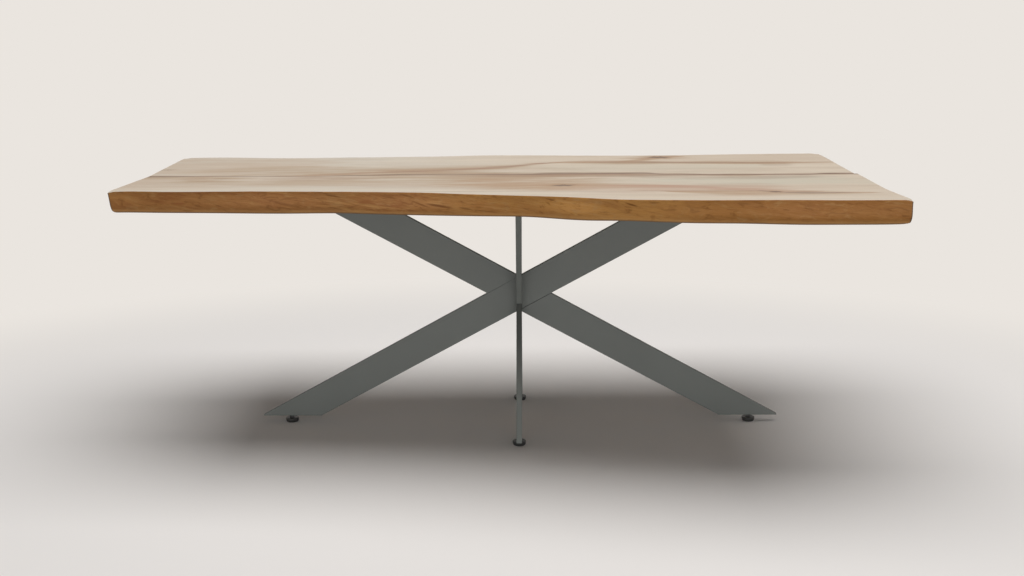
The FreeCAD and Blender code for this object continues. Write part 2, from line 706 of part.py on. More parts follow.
SOCKET = "Sizes.bolt_socket_flats"
HEAD_UNDERSIDE = "-1 * (Sizes.washer_thickness + Sizes.bolt_head_height)"
bolt_corners = [
    ("0", HEAD_UNDERSIDE),
    ("Sizes.bolt_head_radius", HEAD_UNDERSIDE),
    ("Sizes.bolt_head_radius", "-Sizes.washer_thickness"),
    ("Sizes.bolt_radius", "-Sizes.washer_thickness"),
    ("Sizes.bolt_radius", "Sizes.bolt_length - Sizes.washer_thickness"),
    ("0", "Sizes.bolt_length - Sizes.washer_thickness"),
]
bolt = turned_body("bolt", "0", "0", "0", bolt_corners)
button = rim(size("bolt_head_radius"), worked_out(HEAD_UNDERSIDE))
round_edges(bolt, "Button", "Sizes.bolt_head_height / 2", button)
socket = new_sketch(bolt, "SocketOutline", "XY_Plane", HEAD_UNDERSIDE)
draw_polygon(socket, hexagon(SOCKET))
bore_up(bolt, "Socket", socket, "Sizes.bolt_socket_depth")

BOLT_ROOM = "(Sizes.bolt_radius + Sizes.thread_play)"
washer_corners = [
    (BOLT_ROOM, "-Sizes.washer_thickness"),
    ("Sizes.washer_radius", "-Sizes.washer_thickness"),
    ("Sizes.washer_radius", "0"),
    (BOLT_ROOM, "0"),
]
washer = turned_body("washer", "0", "0", "0", washer_corners)
insert_corners = [
    (BOLT_ROOM, "Sizes.plate_thickness"),
    ("Sizes.insert_radius", "Sizes.plate_thickness"),
    ("Sizes.insert_radius", "Sizes.plate_thickness + Sizes.insert_length"),
    (BOLT_ROOM, "Sizes.plate_thickness + Sizes.insert_length"),
]
insert = turned_body("insert", "0", "0", "0", insert_corners)

doc.recompute()
samples = {"mounting_bolts": bolt, "mounting_washers": washer, "threaded_inserts": insert}
for label, sample in samples.items():
    copies = []
    for across, back in bolt_places:
        copy = sample.Shape.copy()
        copy.translate(FreeCAD.Vector(worked_out(across), worked_out(back), worked_out(LEG_TOP)))
        copies.append(copy)
    pieces.append(shaped_piece(label, Part.makeCompound(copies)))

# Every feature and every shape is checked before anything is written.

doc.recompute()
for item in doc.Objects:
    if "Invalid" in item.State or "Error" in item.State:
        raise RuntimeError(f"{item.Label} failed: {item.State}")
for piece in pieces:
    if piece.Shape.isNull() or not piece.Shape.isValid() or not piece.Shape.Solids:
        raise RuntimeError(f"{piece.Label} has no valid shape")

os.makedirs("parts", exist_ok=True)
for piece in pieces:
    piece.Shape.exportStep(f"parts/{piece.Label}.step")
    print(piece.Label, len(piece.Shape.Solids), round(piece.Shape.Volume))
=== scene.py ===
import math

import bmesh
import bpy
from mathutils import Matrix, Vector, noise
from mathutils.bvhtree import BVHTree


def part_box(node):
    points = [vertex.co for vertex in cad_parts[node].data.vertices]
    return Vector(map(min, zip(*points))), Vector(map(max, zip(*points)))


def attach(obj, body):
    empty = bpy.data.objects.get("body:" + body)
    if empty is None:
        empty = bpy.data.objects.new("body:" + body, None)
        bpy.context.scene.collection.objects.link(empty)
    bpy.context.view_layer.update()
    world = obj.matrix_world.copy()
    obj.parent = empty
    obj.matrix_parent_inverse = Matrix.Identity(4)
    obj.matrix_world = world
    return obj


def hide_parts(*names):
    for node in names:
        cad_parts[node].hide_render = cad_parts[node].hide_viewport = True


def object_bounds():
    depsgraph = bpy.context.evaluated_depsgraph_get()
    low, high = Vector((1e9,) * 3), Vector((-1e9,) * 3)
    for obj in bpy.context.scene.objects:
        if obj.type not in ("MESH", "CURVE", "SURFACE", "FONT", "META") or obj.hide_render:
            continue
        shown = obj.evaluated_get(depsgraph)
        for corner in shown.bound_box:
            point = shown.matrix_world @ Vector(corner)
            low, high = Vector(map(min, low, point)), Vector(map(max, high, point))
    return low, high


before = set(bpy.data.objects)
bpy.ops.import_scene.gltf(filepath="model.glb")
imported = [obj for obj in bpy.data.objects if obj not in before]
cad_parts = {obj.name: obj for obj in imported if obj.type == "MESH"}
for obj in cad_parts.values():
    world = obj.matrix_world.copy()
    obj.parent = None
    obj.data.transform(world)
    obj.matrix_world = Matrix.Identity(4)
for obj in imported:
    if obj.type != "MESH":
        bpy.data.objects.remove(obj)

# A live-edge hickory table: two thick boards glued edge to edge, on a crossed base of flat steel
# bars with four levelling feet. Metres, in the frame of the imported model: X along the table, Y
# from the front to the back, Z up.

cad_low, cad_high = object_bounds()
scene = bpy.context.scene
scene.view_settings.view_transform = "Standard"

# The camera stands in front of the table and a little above it, and looks slightly down. Its place
# is measured from the axis of the base, the upright line through the crossing of the bars.

LENS = 43.95
SENSOR_WIDTH = 36
CAMERA_FROM_AXIS = Vector((0.0219, -3.6523, 1.2002))
PITCH_DOWN = math.radians(12.138)
TURN_LEFT = math.radians(0.677)
ROLL = math.radians(-0.323)

arm_low, arm_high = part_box("front_upper_arm")
bar_low, bar_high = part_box("long_bar")
base_axis = Vector(((arm_low.x + arm_high.x) / 2, (bar_low.y + bar_high.y) / 2, 0))

camera_data = bpy.data.cameras.new("photographer")
camera_data.lens = LENS
camera_data.sensor_fit = "HORIZONTAL"
camera_data.sensor_width = SENSOR_WIDTH
camera = bpy.data.objects.new("photographer", camera_data)
scene.collection.objects.link(camera)
scene.camera = camera
camera.matrix_world = (
    Matrix.Translation(base_axis + CAMERA_FROM_AXIS)
    @ Matrix.Rotation(TURN_LEFT, 4, "Z")
    @ Matrix.Rotation(math.pi / 2 - PITCH_DOWN, 4, "X")
    @ Matrix.Rotation(ROLL, 4, "Z")
)

# The studio: a pale floor that melts into a pale backdrop, one very large soft box over the table
# and a wide low one in front of it. The floor keeps the soft shadow, and is clear from beneath.

BACKDROP = (0.823, 0.783, 0.738, 1)
FLOOR_COLOUR = (0.838, 0.802, 0.772, 1)
FLOOR_RADIUS = 9
FLOOR_SIDES = 96
FADE_START = 1.15
FADE_END = 2.25
FADE_SHAPE = (0.78, 1, 1)
AIR_COLOUR = (0.92, 0.965, 1, 1)
AIR_ABOVE = 0.12
AIR_AT_HORIZON = 0.19
AIR_EVENS_OUT = 0.6


def lay(tree, kind, feeds=None, **settings):
    """Add a shader node with its settings, and feed its inputs with values or other nodes' outputs."""
    node = tree.nodes.new("ShaderNode" + kind)
    for name, value in settings.items():
        setattr(node, name, value)
    for name, value in (feeds or {}).items():
        if isinstance(value, bpy.types.NodeSocket):
            tree.links.new(value, node.inputs[name])
        else:
            node.inputs[name].default_value = value
    return node


def sum_up(tree, operation, first, second=0.0, third=0.0):
    """One step of arithmetic on numbers or sockets."""
    return lay(tree, "Math", {0: first, 1: second, 2: third}, operation=operation).outputs[0]


def times(tree, first, second, plus=0.0):
    """The first number or socket times the second, and plus the third."""
    return sum_up(tree, "MULTIPLY_ADD", first, second, plus)


def minus(tree, first, second):
    """The first number or socket less the second."""
    return sum_up(tree, "SUBTRACT", first, second)


def level(tree, value, low, high, start=0.0, end=1.0, soft=True):
    """Carry a value from one range to another, softly or in a straight line."""
    feeds = {"Value": value, "From Min": low, "From Max": high, "To Min": start, "To Max": end}
    kind = "SMOOTHSTEP" if soft else "LINEAR"
    return lay(tree, "MapRange", feeds, interpolation_type=kind).outputs[0]


def fresh_material(name):
    """Empty node material, with its output node."""
    material = bpy.data.materials.new(name)
    material.use_nodes = True
    tree = material.node_tree
    tree.nodes.clear()
    return material, tree, tree.nodes.new("ShaderNodeOutputMaterial")


def own_place(tree):
    """Place of the shaded point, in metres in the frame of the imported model."""
    return lay(tree, "TexCoord").outputs["Object"]


def xyz(tree, vector):
    """X, Y and Z of a vector."""
    return list(lay(tree, "SeparateXYZ", {0: vector}).outputs)


def mix_shaders(tree, share, first, second):
    """Shader between two shaders."""
    return lay(tree, "MixShader", {0: share, 1: first.outputs[0], 2: second.outputs[0]})


def seen_directly(tree):
    """1 for a ray from the camera, a mirror or glass, and 0 for one that only lights things."""
    path = lay(tree, "LightPath")
    shiny = sum_up(tree, "MAXIMUM", path.outputs["Is Camera Ray"], path.outputs["Is Glossy Ray"])
    return sum_up(tree, "MAXIMUM", shiny, path.outputs["Is Transmission Ray"])


floor_material, tree, output = fresh_material("studio_floor")
shaped = lay(tree, "Mapping", {"Vector": own_place(tree), "Scale": FADE_SHAPE}).outputs[0]
away = lay(tree, "VectorMath", {0: shaped}, operation="LENGTH").outputs["Value"]
melt = times(tree, level(tree, away, FADE_START, FADE_END), seen_directly(tree))
lit = lay(tree, "BsdfDiffuse", {"Color": FLOOR_COLOUR})
flat = lay(tree, "Emission", {"Color": BACKDROP, "Strength": 1})
from_beneath = lay(tree, "NewGeometry").outputs["Backfacing"]
clear = lay(tree, "BsdfTransparent")
mixed = mix_shaders(tree, from_beneath, mix_shaders(tree, melt, lit, flat), clear)
tree.links.new(mixed.outputs[0], output.inputs["Surface"])

floor_mesh = bpy.data.meshes.new("studio_floor")
rim = bmesh.new()
bmesh.ops.create_circle(rim, cap_ends=True, segments=FLOOR_SIDES, radius=FLOOR_RADIUS)
rim.to_mesh(floor_mesh)
rim.free()
floor = bpy.data.objects.new("studio_floor", floor_mesh)
scene.collection.objects.link(floor)
floor_mesh.materials.append(floor_material)

world = bpy.data.worlds.new("studio_air")
scene.world = world
world.use_nodes = True
tree = world.node_tree
tree.nodes.clear()
output = tree.nodes.new("ShaderNodeOutputWorld")
direction = lay(tree, "TexCoord").outputs["Generated"]
strength = level(tree, xyz(tree, direction)[2], 0, AIR_EVENS_OUT, AIR_AT_HORIZON, AIR_ABOVE)
soft = lay(tree, "Background", {"Color": AIR_COLOUR, "Strength": strength})
pale = lay(tree, "Background", {"Color": BACKDROP, "Strength": 1})
mixed = mix_shaders(tree, seen_directly(tree), soft, pale)
tree.links.new(mixed.outputs[0], output.inputs["Surface"])


def soft_box(name, place, aim, width, depth, power):
    """Rectangular area lamp that faces a point."""
    data = bpy.data.lights.new(name, "AREA")
    data.shape = "RECTANGLE"
    data.size = width
    data.size_y = depth
    data.energy = power
    lamp = bpy.data.objects.new(name, data)
    scene.collection.objects.link(lamp)
    lamp.location = place
    lamp.rotation_euler = (Vector(aim) - Vector(place)).to_track_quat("-Z", "Y").to_euler()


soft_box("overhead_box", place=(0.26, 0.16, 5.13), aim=(0.26, 0.16, 0), width=6, depth=4.1, power=277)
soft_box("front_box", place=(0.2, -5.4, 0.75), aim=(0.1, 0, 0.5), width=4.6, depth=1.2, power=80)

# The two boards: thick slabs of hickory, sawn flat above and below and left with the tree's own
# edge along the front and the back. Each one is modelled afresh over its solid, with the small
# ridges and hollows of a peeled live edge, eased corners and rolled lower ends.

STATION_STEP = 0.004
FIRST_EVEN_STATION = 3
END_STATIONS = (0, 0.0003, 0.0009, 0.0019, 0.0034, 0.0054, 0.0076)
FLANK_HEIGHT_SHARES = (0.9, 0.82, 0.73, 0.64, 0.55, 0.46, 0.37, 0.28, 0.2, 0.13, 0.07, 0.03)
FACE_DEPTH_SHARES = (0.12, 0.25, 0.38, 0.5, 0.62, 0.73, 0.83, 0.91, 0.96)
PROBE_INSET = 0.0003
WALK_STEP = 0.001
STRAIGHT_ON = 3 * WALK_STEP
ARRIS = 0.0012
ARRIS_MIDDLE = 0.3
WORN_ARRIS = 0.0022
MEAN_WEAR = 0.35
BROAD_WEAR = 0.7
SHORT_WEAR = 0.5
WEAR_WAVES = (9, 31)
WORN_REACH = 0.022
WORN_DROP = 0.0042
WORN_SHAPE = 1.5
MOST_WORN = 0.0053
GLUE_ARRIS = 0.00025
LEFT_END_ROLL = 0.011
RIGHT_END_REACH = 0.030
RIGHT_END_ROLL = 0.0065
TOP_END_ROLL = 0.0024
CORNER_ROLL = 0.006
RIDGE_DEPTH = 0.0016
DIMPLE_DEPTH = 0.0006
# Waves to the metre, along the edge and up it.
RIDGE_WAVES = (5, 48)
DIMPLE_WAVES = (26, 90)
TOP, FLANK, END, UNDER = range(4)


def rolled(reach, distance, drop=None):
    """How far a rounded corner falls short of the square one at a distance from its end."""
    short = min(max(1 - distance / reach, 0.0), 1.0)
    return (drop or reach) * (1 - math.sqrt(1 - short**2))


def live_edge_relief(along, height, seed):
    """How far the weathered surface lies inside the smooth flank: long ridges and small dimples."""
    ridge = noise.noise(Vector((along * RIDGE_WAVES[0], height * RIDGE_WAVES[1], seed)))
    dimple = noise.noise(Vector((along * DIMPLE_WAVES[0], height * DIMPLE_WAVES[1], seed + 5)))
    return RIDGE_DEPTH * (1 + ridge) / 2 + DIMPLE_DEPTH * (1 + dimple) / 2


def wear(along, seed):
    """How much the upper arris is worn down at one place, from 0 to 1."""
    broad = noise.noise(Vector((along * WEAR_WAVES[0], seed, 1.5)))
    short = noise.noise(Vector((along * WEAR_WAVES[1], seed, 7.5)))
    return min(max(MEAN_WEAR + BROAD_WEAR * broad + SHORT_WEAR * short, 0.0), 1.0)


def corner_drop(end_gap, edge_gap):
    """How far a worn upper corner lies under the top, from its distances to the end and the edge."""
    near_end = max(1 - end_gap / WORN_REACH, 0)
    near_edge = max(1 - edge_gap / WORN_REACH, 0)
    return WORN_DROP * near_end**WORN_SHAPE * near_edge


def probe_solid(node, facing):
    """Functions that read the two sawn ends and the live edge of a board off its solid."""
    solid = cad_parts[node].data
    corners = [vertex.co for vertex in solid.vertices]
    tree = BVHTree.FromPolygons(corners, [list(face.vertices) for face in solid.polygons])
    low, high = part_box(node)
    glue = high.y if facing < 0 else low.y
    levels = (low.z + PROBE_INSET, high.z - PROBE_INSET)
    far = high.x - low.x

    def end_x(side, back, height):
        hit = tree.ray_cast(Vector((side * far, back, height)), Vector((-side, 0, 0)))[0]
        return hit.x if hit else None

    def flank_y(along, height):
        start = Vector((along, glue + facing * far, height))
        hit = tree.ray_cast(start, Vector((0, -facing, 0)))[0]
        return hit.y if hit else None

    def last_of_end(side, height):
        """Place where a sawn end meets the live edge: past it the wood falls back fast."""
        back = glue + facing * PROBE_INSET
        along = end_x(side, back, height)
        while True:
            following = end_x(side, back + facing * WALK_STEP, height)
            if following is None or abs(following - along) > STRAIGHT_ON:
                return back, along
            back += facing * WALK_STEP
            along = following

    ends = {(side, height): last_of_end(side, height) for side in (-1, 1) for height in levels}

    def end_at(side, back, height):
        """X of a sawn end at one depth and height, straight on past its corner."""
        marks = []
        for probe in levels:
            corner_back, corner_along = ends[side, probe]
            depth = min(max(facing * (back - glue), PROBE_INSET), facing * (corner_back - glue))
            inside = depth < facing * (corner_back - glue)
            marks.append(end_x(side, glue + facing * depth, probe) if inside else corner_along)
        up = (height - low.z) / (high.z - low.z)
        return marks[0] + (marks[1] - marks[0]) * up

    return low, high, glue, end_at, flank_y


def skin(name, rings, slot_of=None, cap_slot=0):
    """Piece whose mesh joins rings of points and closes the first and the last one."""
    body = bmesh.new()
    rows = [[body.verts.new(spot) for spot in ring] for ring in rings]
    count = len(rings[0])
    for near, far in zip(rows, rows[1:]):
        for index in range(count):
            following = (index + 1) % count
            quad = body.faces.new([near[index], near[following], far[following], far[index]])
            if slot_of:
                quad.smooth = True
                quad.material_index = slot_of(index)
    for row in (rows[0], rows[-1]):
        body.faces.new(row).material_index = cap_slot
    bmesh.ops.recalc_face_normals(body, faces=body.faces)
    mesh = bpy.data.meshes.new(name)
    body.to_mesh(mesh)
    body.free()
    piece = bpy.data.objects.new(name, mesh)
    scene.collection.objects.link(piece)
    return piece


def model_board(node, facing, seed):
    """Mesh of one board: rings of points round its section at stations along it."""
    low, high, glue, end_at, flank_y = probe_solid(node, facing)
    thickness = high.z - low.z
    length = high.x - low.x
    steps = round(length / STATION_STEP)
    inner = [index / steps for index in range(FIRST_EVEN_STATION, steps - FIRST_EVEN_STATION + 1)]
    near_end = [place / length for place in END_STATIONS]
    stations = near_end + inner + [1 - share for share in reversed(near_end)]

    rings = []
    for share in stations:
        edge_y = {}
        for height in (low.z, high.z):
            probe = min(max(height, low.z + PROBE_INSET), high.z - PROBE_INSET)
            back = glue + facing * thickness
            # The sawn end and the live edge each depend on the other, so both are found twice.
            for _ in range(2):
                left, right = (end_at(side, back, height) for side in (-1, 1))
                along = left + (right - left) * share
                back = flank_y(min(max(along, left + PROBE_INSET), right - PROBE_INSET), probe)
            edge_y[height] = back

        def point(back, height, flank=False):
            """Point of the ring, rolled off towards the ends of the board."""
            left, right = (end_at(side, back, height) for side in (-1, 1))
            along = left + (right - left) * share
            from_end = min(along - left, right - along)
            height = min(height, high.z - rolled(TOP_END_ROLL, from_end))
            height = max(height, low.z + rolled(LEFT_END_ROLL, along - left))
            height = max(height, low.z + rolled(RIGHT_END_REACH, right - along, RIGHT_END_ROLL))
            left, right = (end_at(side, back, height) for side in (-1, 1))
            along = left + (right - left) * share
            if flank:
                probe = min(max(height, low.z + PROBE_INSET), high.z - PROBE_INSET)
                edge = flank_y(min(max(along, left + PROBE_INSET), right - PROBE_INSET), probe)
                back = edge - facing * live_edge_relief(along, height, seed)
                back -= facing * rolled(CORNER_ROLL, from_end)
            return Vector((along, back, height))

        top_y, under_y = edge_y[high.z], edge_y[low.z]
        relief = live_edge_relief(share * length, high.z, seed)
        end_gap = min(share, 1 - share) * length
        corner = rolled(CORNER_ROLL, end_gap)
        top_y -= facing * (relief + corner)
        under_y -= facing * (relief + corner)
        arris = ARRIS + WORN_ARRIS * wear(share * length, seed)
        top_z = high.z - corner_drop(end_gap, 0)
        arris = min(arris, top_z - high.z + MOST_WORN)
        ring = [point(glue, high.z - GLUE_ARRIS), point(glue + facing * GLUE_ARRIS, high.z)]
        for depth in FACE_DEPTH_SHARES:
            edge_gap = abs(top_y - glue) * (1 - depth)
            ring += [point(glue + (top_y - glue) * depth, high.z - corner_drop(end_gap, edge_gap))]
        bend = arris * ARRIS_MIDDLE
        ring += [point(top_y - facing * arris, top_z), point(top_y - facing * bend, top_z - bend)]
        heights = [top_z - arris] + [low.z + thickness * up for up in FLANK_HEIGHT_SHARES]
        ring += [point(top_y, height, True) for height in heights]
        ring += [point(under_y, low.z)]
        ring += [point(glue + (under_y - glue) * depth, low.z) for depth in reversed(FACE_DEPTH_SHARES)]
        ring += [point(glue + facing * GLUE_ARRIS, low.z), point(glue, low.z + GLUE_ARRIS)]
        rings.append(ring)

    top_end = len(FACE_DEPTH_SHARES) + 2
    flank_end = top_end + len(FLANK_HEIGHT_SHARES) + 2

    def slot_of(index):
        return TOP if index < top_end else FLANK if index <= flank_end else UNDER

    piece = skin(f"{node}_wood", rings, slot_of, END)
    even = piece.modifiers.new("even_shading", "WEIGHTED_NORMAL")
    even.keep_sharp = True
    return piece


# The figure of the faces, as the log grew it: growth rings round a pith line under the glue joint,
# pale sapwood between grey and cream, and brown heartwood that comes to the surface in streaks,
# clouds and small knots.

SAPWOOD_GREY = (0.5, 0.455, 0.385, 1)
SAPWOOD_CREAM = (0.52, 0.432, 0.338, 1)
SAPWOOD_LIGHT = (0.585, 0.505, 0.405, 1)
SAPWOOD_GREEN = (0.46, 0.432, 0.345, 1)
SAPWOOD_DEEP = (0.4, 0.31, 0.225, 1)
BEIGE = (0.43, 0.335, 0.25, 1)
TAN = (0.34, 0.245, 0.16, 1)
HALO_TAN = (0.326, 0.2, 0.11, 1)
HEART_PINK = (0.36, 0.21, 0.14, 1)
HEART_BROWN = (0.275, 0.155, 0.075, 1)
PURPLE_BROWN = (0.2, 0.105, 0.064, 1)
STREAK_DARK = (0.068, 0.03, 0.014, 1)
JOINT_BROWN = (0.084, 0.034, 0.01, 1)
JOINT_SHADE = (0.21, 0.112, 0.058, 1)
PORE_BROWN = (0.2, 0.125, 0.08, 1)
PITH_BELOW_TOP = 0.13
PITH_BACK = 0.02
RINGS_PER_METRE = 210
RING_WOBBLE = 7.0
# How far the grain wanders sideways, and how far a stain strays from the grain.
SLOW_WANDER = 0.034
QUICK_WANDER = 0.008
STAIN_WANDER = 0.016
# Broad clouds of colour: colour, strength, X, Y, half length and half width.
CLOUDS = {
    "left_beige": (BEIGE, 0.85, -1.0, 0.2, 0.62, 0.52),
    "left_front_beige": (BEIGE, 0.8, -0.72, -0.09, 0.7, 0.22),
    "left_brown": (TAN, 0.65, -0.6, 0.12, 0.3, 0.13),
    "left_smudge": (TAN, 0.95, -0.81, -0.07, 0.13, 0.12),
    "front_smudge": (TAN, 0.75, -0.45, -0.14, 0.24, 0.1),
    "front_beige": (BEIGE, 0.7, -0.2, -0.19, 0.38, 0.13),
    "middle_front_beige": (TAN, 0.65, -0.1, -0.06, 0.46, 0.14),
    "joint_cloud": (TAN, 1.0, 0.02, -0.015, 0.46, 0.095),
    "joint_spot": (TAN, 0.9, 0.69, -0.03, 0.1, 0.045),
    "end_spot": (TAN, 0.85, -1.01, -0.01, 0.13, 0.05),
    "middle_pale": (SAPWOOD_GREEN, 0.9, 0.64, -0.13, 0.5, 0.13),
    "rear_pale": (SAPWOOD_GREEN, 0.5, 0.45, 0.18, 0.45, 0.13),
    "grey_smudge": (PURPLE_BROWN, 0.38, 0.845, 0.262, 0.05, 0.065),
    "joint_purple": (PURPLE_BROWN, 0.8, 0.26, 0.026, 0.17, 0.036),
    "joint_haze_right": (PURPLE_BROWN, 0.47, 0.6, -0.052, 0.38, 0.058),
    "joint_haze_left": (PURPLE_BROWN, 0.36, -0.53, -0.052, 0.24, 0.055),
    "smudge_core": (HEART_BROWN, 0.55, -0.83, -0.062, 0.09, 0.07),
    "right_light": (SAPWOOD_LIGHT, 0.5, 0.95, 0.15, 0.15, 0.1),
    "front_halo": (HALO_TAN, 0.9, 0.13, -0.19, 0.32, 0.14),
    "crack_halo": (HALO_TAN, 0.7, 0.2, -0.225, 0.13, 0.08),
    "band_pink": (HEART_PINK, 0.55, 0.5, -0.28, 0.34, 0.09),
    "rear_right_beige": (BEIGE, 0.5, 0.86, 0.43, 0.5, 0.14),
    "rear_sweep_tan": (TAN, 0.75, -0.2, 0.14, 0.44, 0.12),
    "rear_band_tan": (TAN, 0.6, 0.62, 0.315, 0.5, 0.055),
    "knot_shade": (HEART_BROWN, 0.45, 0.505, 0.455, 0.12, 0.065),
}
# Streaks: colour, strength, softness of the border, and points along the middle line as (X, Y, half
# width). The joint line is the dark one that follows the glue joint.
HEART_STREAKS = {
    "front_sapwood": (SAPWOOD_LIGHT, 0.55, 1.0, [
        (-1.04, -0.285, 0.035), (-0.6, -0.29, 0.035), (-0.3, -0.315, 0.04), (0.0, -0.375, 0.04),
        (0.2, -0.43, 0.04), (0.4, -0.475, 0.04), (0.75, -0.49, 0.04), (1.04, -0.5, 0.04),
    ]),
    "rear_line": (HEART_BROWN, 0.28, 0.9, [
        (-0.2, 0.498, 0.0), (0.05, 0.5, 0.005), (0.45, 0.502, 0.006), (0.8, 0.506, 0.005),
        (1.04, 0.51, 0.004),
    ]),
    "joint_shade": (JOINT_SHADE, 0.86, 0.9, [
        (-0.46, 0.0, 0.0), (-0.25, 0.022, 0.02), (-0.05, 0.006, 0.028), (0.1, 0.012, 0.036),
        (0.22, 0.022, 0.042), (0.35, 0.022, 0.036), (0.48, 0.008, 0.024), (0.66, -0.008, 0.014),
        (0.85, 0.0, 0.018), (1.04, 0.008, 0.02),
    ]),
    "front_band": (HEART_PINK, 0.95, 0.8, [
        (0.28, -0.236, 0.0), (0.38, -0.236, 0.022), (0.46, -0.25, 0.028), (0.53, -0.27, 0.026),
        (0.6, -0.305, 0.028), (0.66, -0.33, 0.03), (0.73, -0.345, 0.024), (0.86, -0.362, 0.0),
    ]),
    "front_lower_band": (HALO_TAN, 0.95, 0.8, [
        (0.42, -0.345, 0.0), (0.54, -0.374, 0.03), (0.64, -0.384, 0.044), (0.74, -0.384, 0.034),
        (0.85, -0.388, 0.024), (1.0, -0.394, 0.0),
    ]),
    "rear_sweep": (HEART_BROWN, 0.86, 0.9, [
        (-0.7, 0.002, 0.0), (-0.5, 0.03, 0.024), (-0.4, 0.07, 0.04), (-0.3, 0.106, 0.046),
        (-0.2, 0.13, 0.044), (-0.1, 0.16, 0.046), (0.0, 0.202, 0.042), (0.06, 0.248, 0.034),
        (0.1, 0.284, 0.028), (0.2, 0.325, 0.0),
    ]),
    "sweep_core": (PURPLE_BROWN, 0.75, 0.8, [
        (-0.42, 0.085, 0.0), (-0.22, 0.116, 0.01), (-0.05, 0.178, 0.017), (0.02, 0.21, 0.021),
        (0.06, 0.248, 0.016), (0.1, 0.283, 0.015), (0.16, 0.312, 0.0),
    ]),
    "rear_band": (HEART_BROWN, 0.82, 0.9, [
        (0.14, 0.335, 0.0), (0.24, 0.335, 0.025), (0.33, 0.331, 0.036), (0.42, 0.33, 0.037),
        (0.5, 0.317, 0.03), (0.6, 0.306, 0.03), (0.7, 0.298, 0.027), (0.8, 0.293, 0.021),
        (0.88, 0.297, 0.022), (0.97, 0.303, 0.019), (1.04, 0.306, 0.01),
    ]),
    "band_core": (STREAK_DARK, 0.55, 0.7, [
        (0.2, 0.334, 0.0), (0.34, 0.331, 0.006), (0.41, 0.333, 0.013), (0.48, 0.322, 0.008),
        (0.6, 0.307, 0.009), (0.72, 0.297, 0.005), (0.82, 0.293, 0.005), (0.92, 0.298, 0.0),
    ]),
    "knot_tail": (HEART_BROWN, 0.8, 0.9, [
        (0.35, 0.335, 0.0), (0.4, 0.352, 0.022), (0.44, 0.385, 0.034), (0.48, 0.43, 0.034),
        (0.53, 0.475, 0.024), (0.6, 0.49, 0.0),
    ]),
    "front_line": (STREAK_DARK, 0.66, 0.5, [
        (0.68, -0.345, 0.0), (0.724, -0.366, 0.011), (0.75, -0.381, 0.01), (0.8, -0.387, 0.018),
        (0.86, -0.389, 0.009), (0.95, -0.392, 0.0),
    ]),
    "joint_line": (JOINT_BROWN, 0.9, 0.6, [
        (-1.04, 0.003, 0.013), (-0.96, 0.003, 0.013), (-0.9, 0.004, 0.008), (-0.75, 0.003, 0.006),
        (-0.6, -0.002, 0.006), (-0.5, -0.002, 0.007), (-0.42, 0.012, 0.007), (-0.3, 0.028, 0.01),
        (-0.2, 0.032, 0.009), (-0.1, 0.026, 0.009), (0.0, 0.02, 0.012), (0.08, 0.027, 0.013),
        (0.16, 0.043, 0.021), (0.26, 0.044, 0.022), (0.35, 0.041, 0.019), (0.43, 0.038, 0.015),
        (0.47, 0.01, 0.012), (0.6, 0.004, 0.011), (0.75, -0.003, 0.01), (0.88, -0.003, 0.011),
        (0.96, 0.012, 0.013), (1.04, 0.007, 0.015),
    ]),
}
WIDEST_STREAK = 0.1
NARROWEST_STREAK = 0.0008
STREAK_TAPER = 0.004
# How much torn strands and loose patches fray the border of a cloud and of a streak.
CLOUD_FRAY = (1.2, 3.6)
STREAK_FRAY = (2.4, 1.6)
# Knots: X, Y, half length along the grain, half width, strength of the stain.
KNOTS = [
    (0.505, 0.460, 0.030, 0.026, 1.0),
    (0.178, -0.226, 0.026, 0.014, 1.0),
    (0.722, -0.368, 0.013, 0.012, 1.0),
    (-0.788, -0.056, 0.022, 0.008, 0.35),
    (-1.005, 0.169, 0.020, 0.010, 0.40),
]
# The grain bends round a knot within so many half lengths and half widths of it.
KNOT_BEND = 0.62
KNOT_BEND_REACH = (2.2, 2.8)
KNOT_RAYS = 3.4
KNOT_SHELLS = 4.0


def blend(tree, share, first, second):
    """Colour between two colours."""
    feeds = {0: share, 6: first, 7: second}
    return lay(tree, "Mix", feeds, data_type="RGBA").outputs[2]


def tint(tree, colour, stain, pattern, low, high, most):
    """Stain a colour where a pattern goes from low to high, up to the most."""
    return blend(tree, level(tree, pattern, low, high, 0, most), colour, stain)


def grain(tree, place, along, across, up, detail=2.0, roughness=0.5, distortion=0.0, shift=0.0, tilt=0.0):
    """Noise drawn out along the grain, with so many waves to the metre each way."""
    if tilt:
        place = lay(tree, "Mapping", {"Vector": place, "Rotation": (0, tilt, 0)}).outputs[0]
    feeds = {"Vector": place, "Location": (shift, shift, shift), "Scale": (along, across, up)}
    drawn = lay(tree, "Mapping", feeds).outputs[0]
    feeds = {"Vector": drawn, "Scale": 1.0, "Detail": detail, "Roughness": roughness}
    return lay(tree, "TexNoise", feeds | {"Distortion": distortion}).outputs[0]


def bend_line(tree, along, points, low, high):
    """Value of a smooth line through points (along, value), as a curve node."""
    span = cad_high.x - cad_low.x
    share = sum_up(tree, "DIVIDE", minus(tree, along, cad_low.x), span)
    node = lay(tree, "FloatCurve", {"Value": share})
    node.mapping.extend = "HORIZONTAL"
    curve = node.mapping.curves[0]
    spots = [((x - cad_low.x) / span, (value - low) / (high - low)) for x, value in points]
    curve.points[0].location = spots[0]
    curve.points[1].location = spots[-1]
    for spot in spots[1:-1]:
        curve.points.new(*spot)
    node.mapping.update()
    return times(tree, node.outputs[0], high - low, low)


def offset(tree, value, middle, half):
    """How far a value is from the middle one, in half widths."""
    return sum_up(tree, "DIVIDE", minus(tree, value, middle), half)


def squares(tree, first, second):
    """Sum of two squares."""
    return sum_up(tree, "ADD", times(tree, first, first), times(tree, second, second))


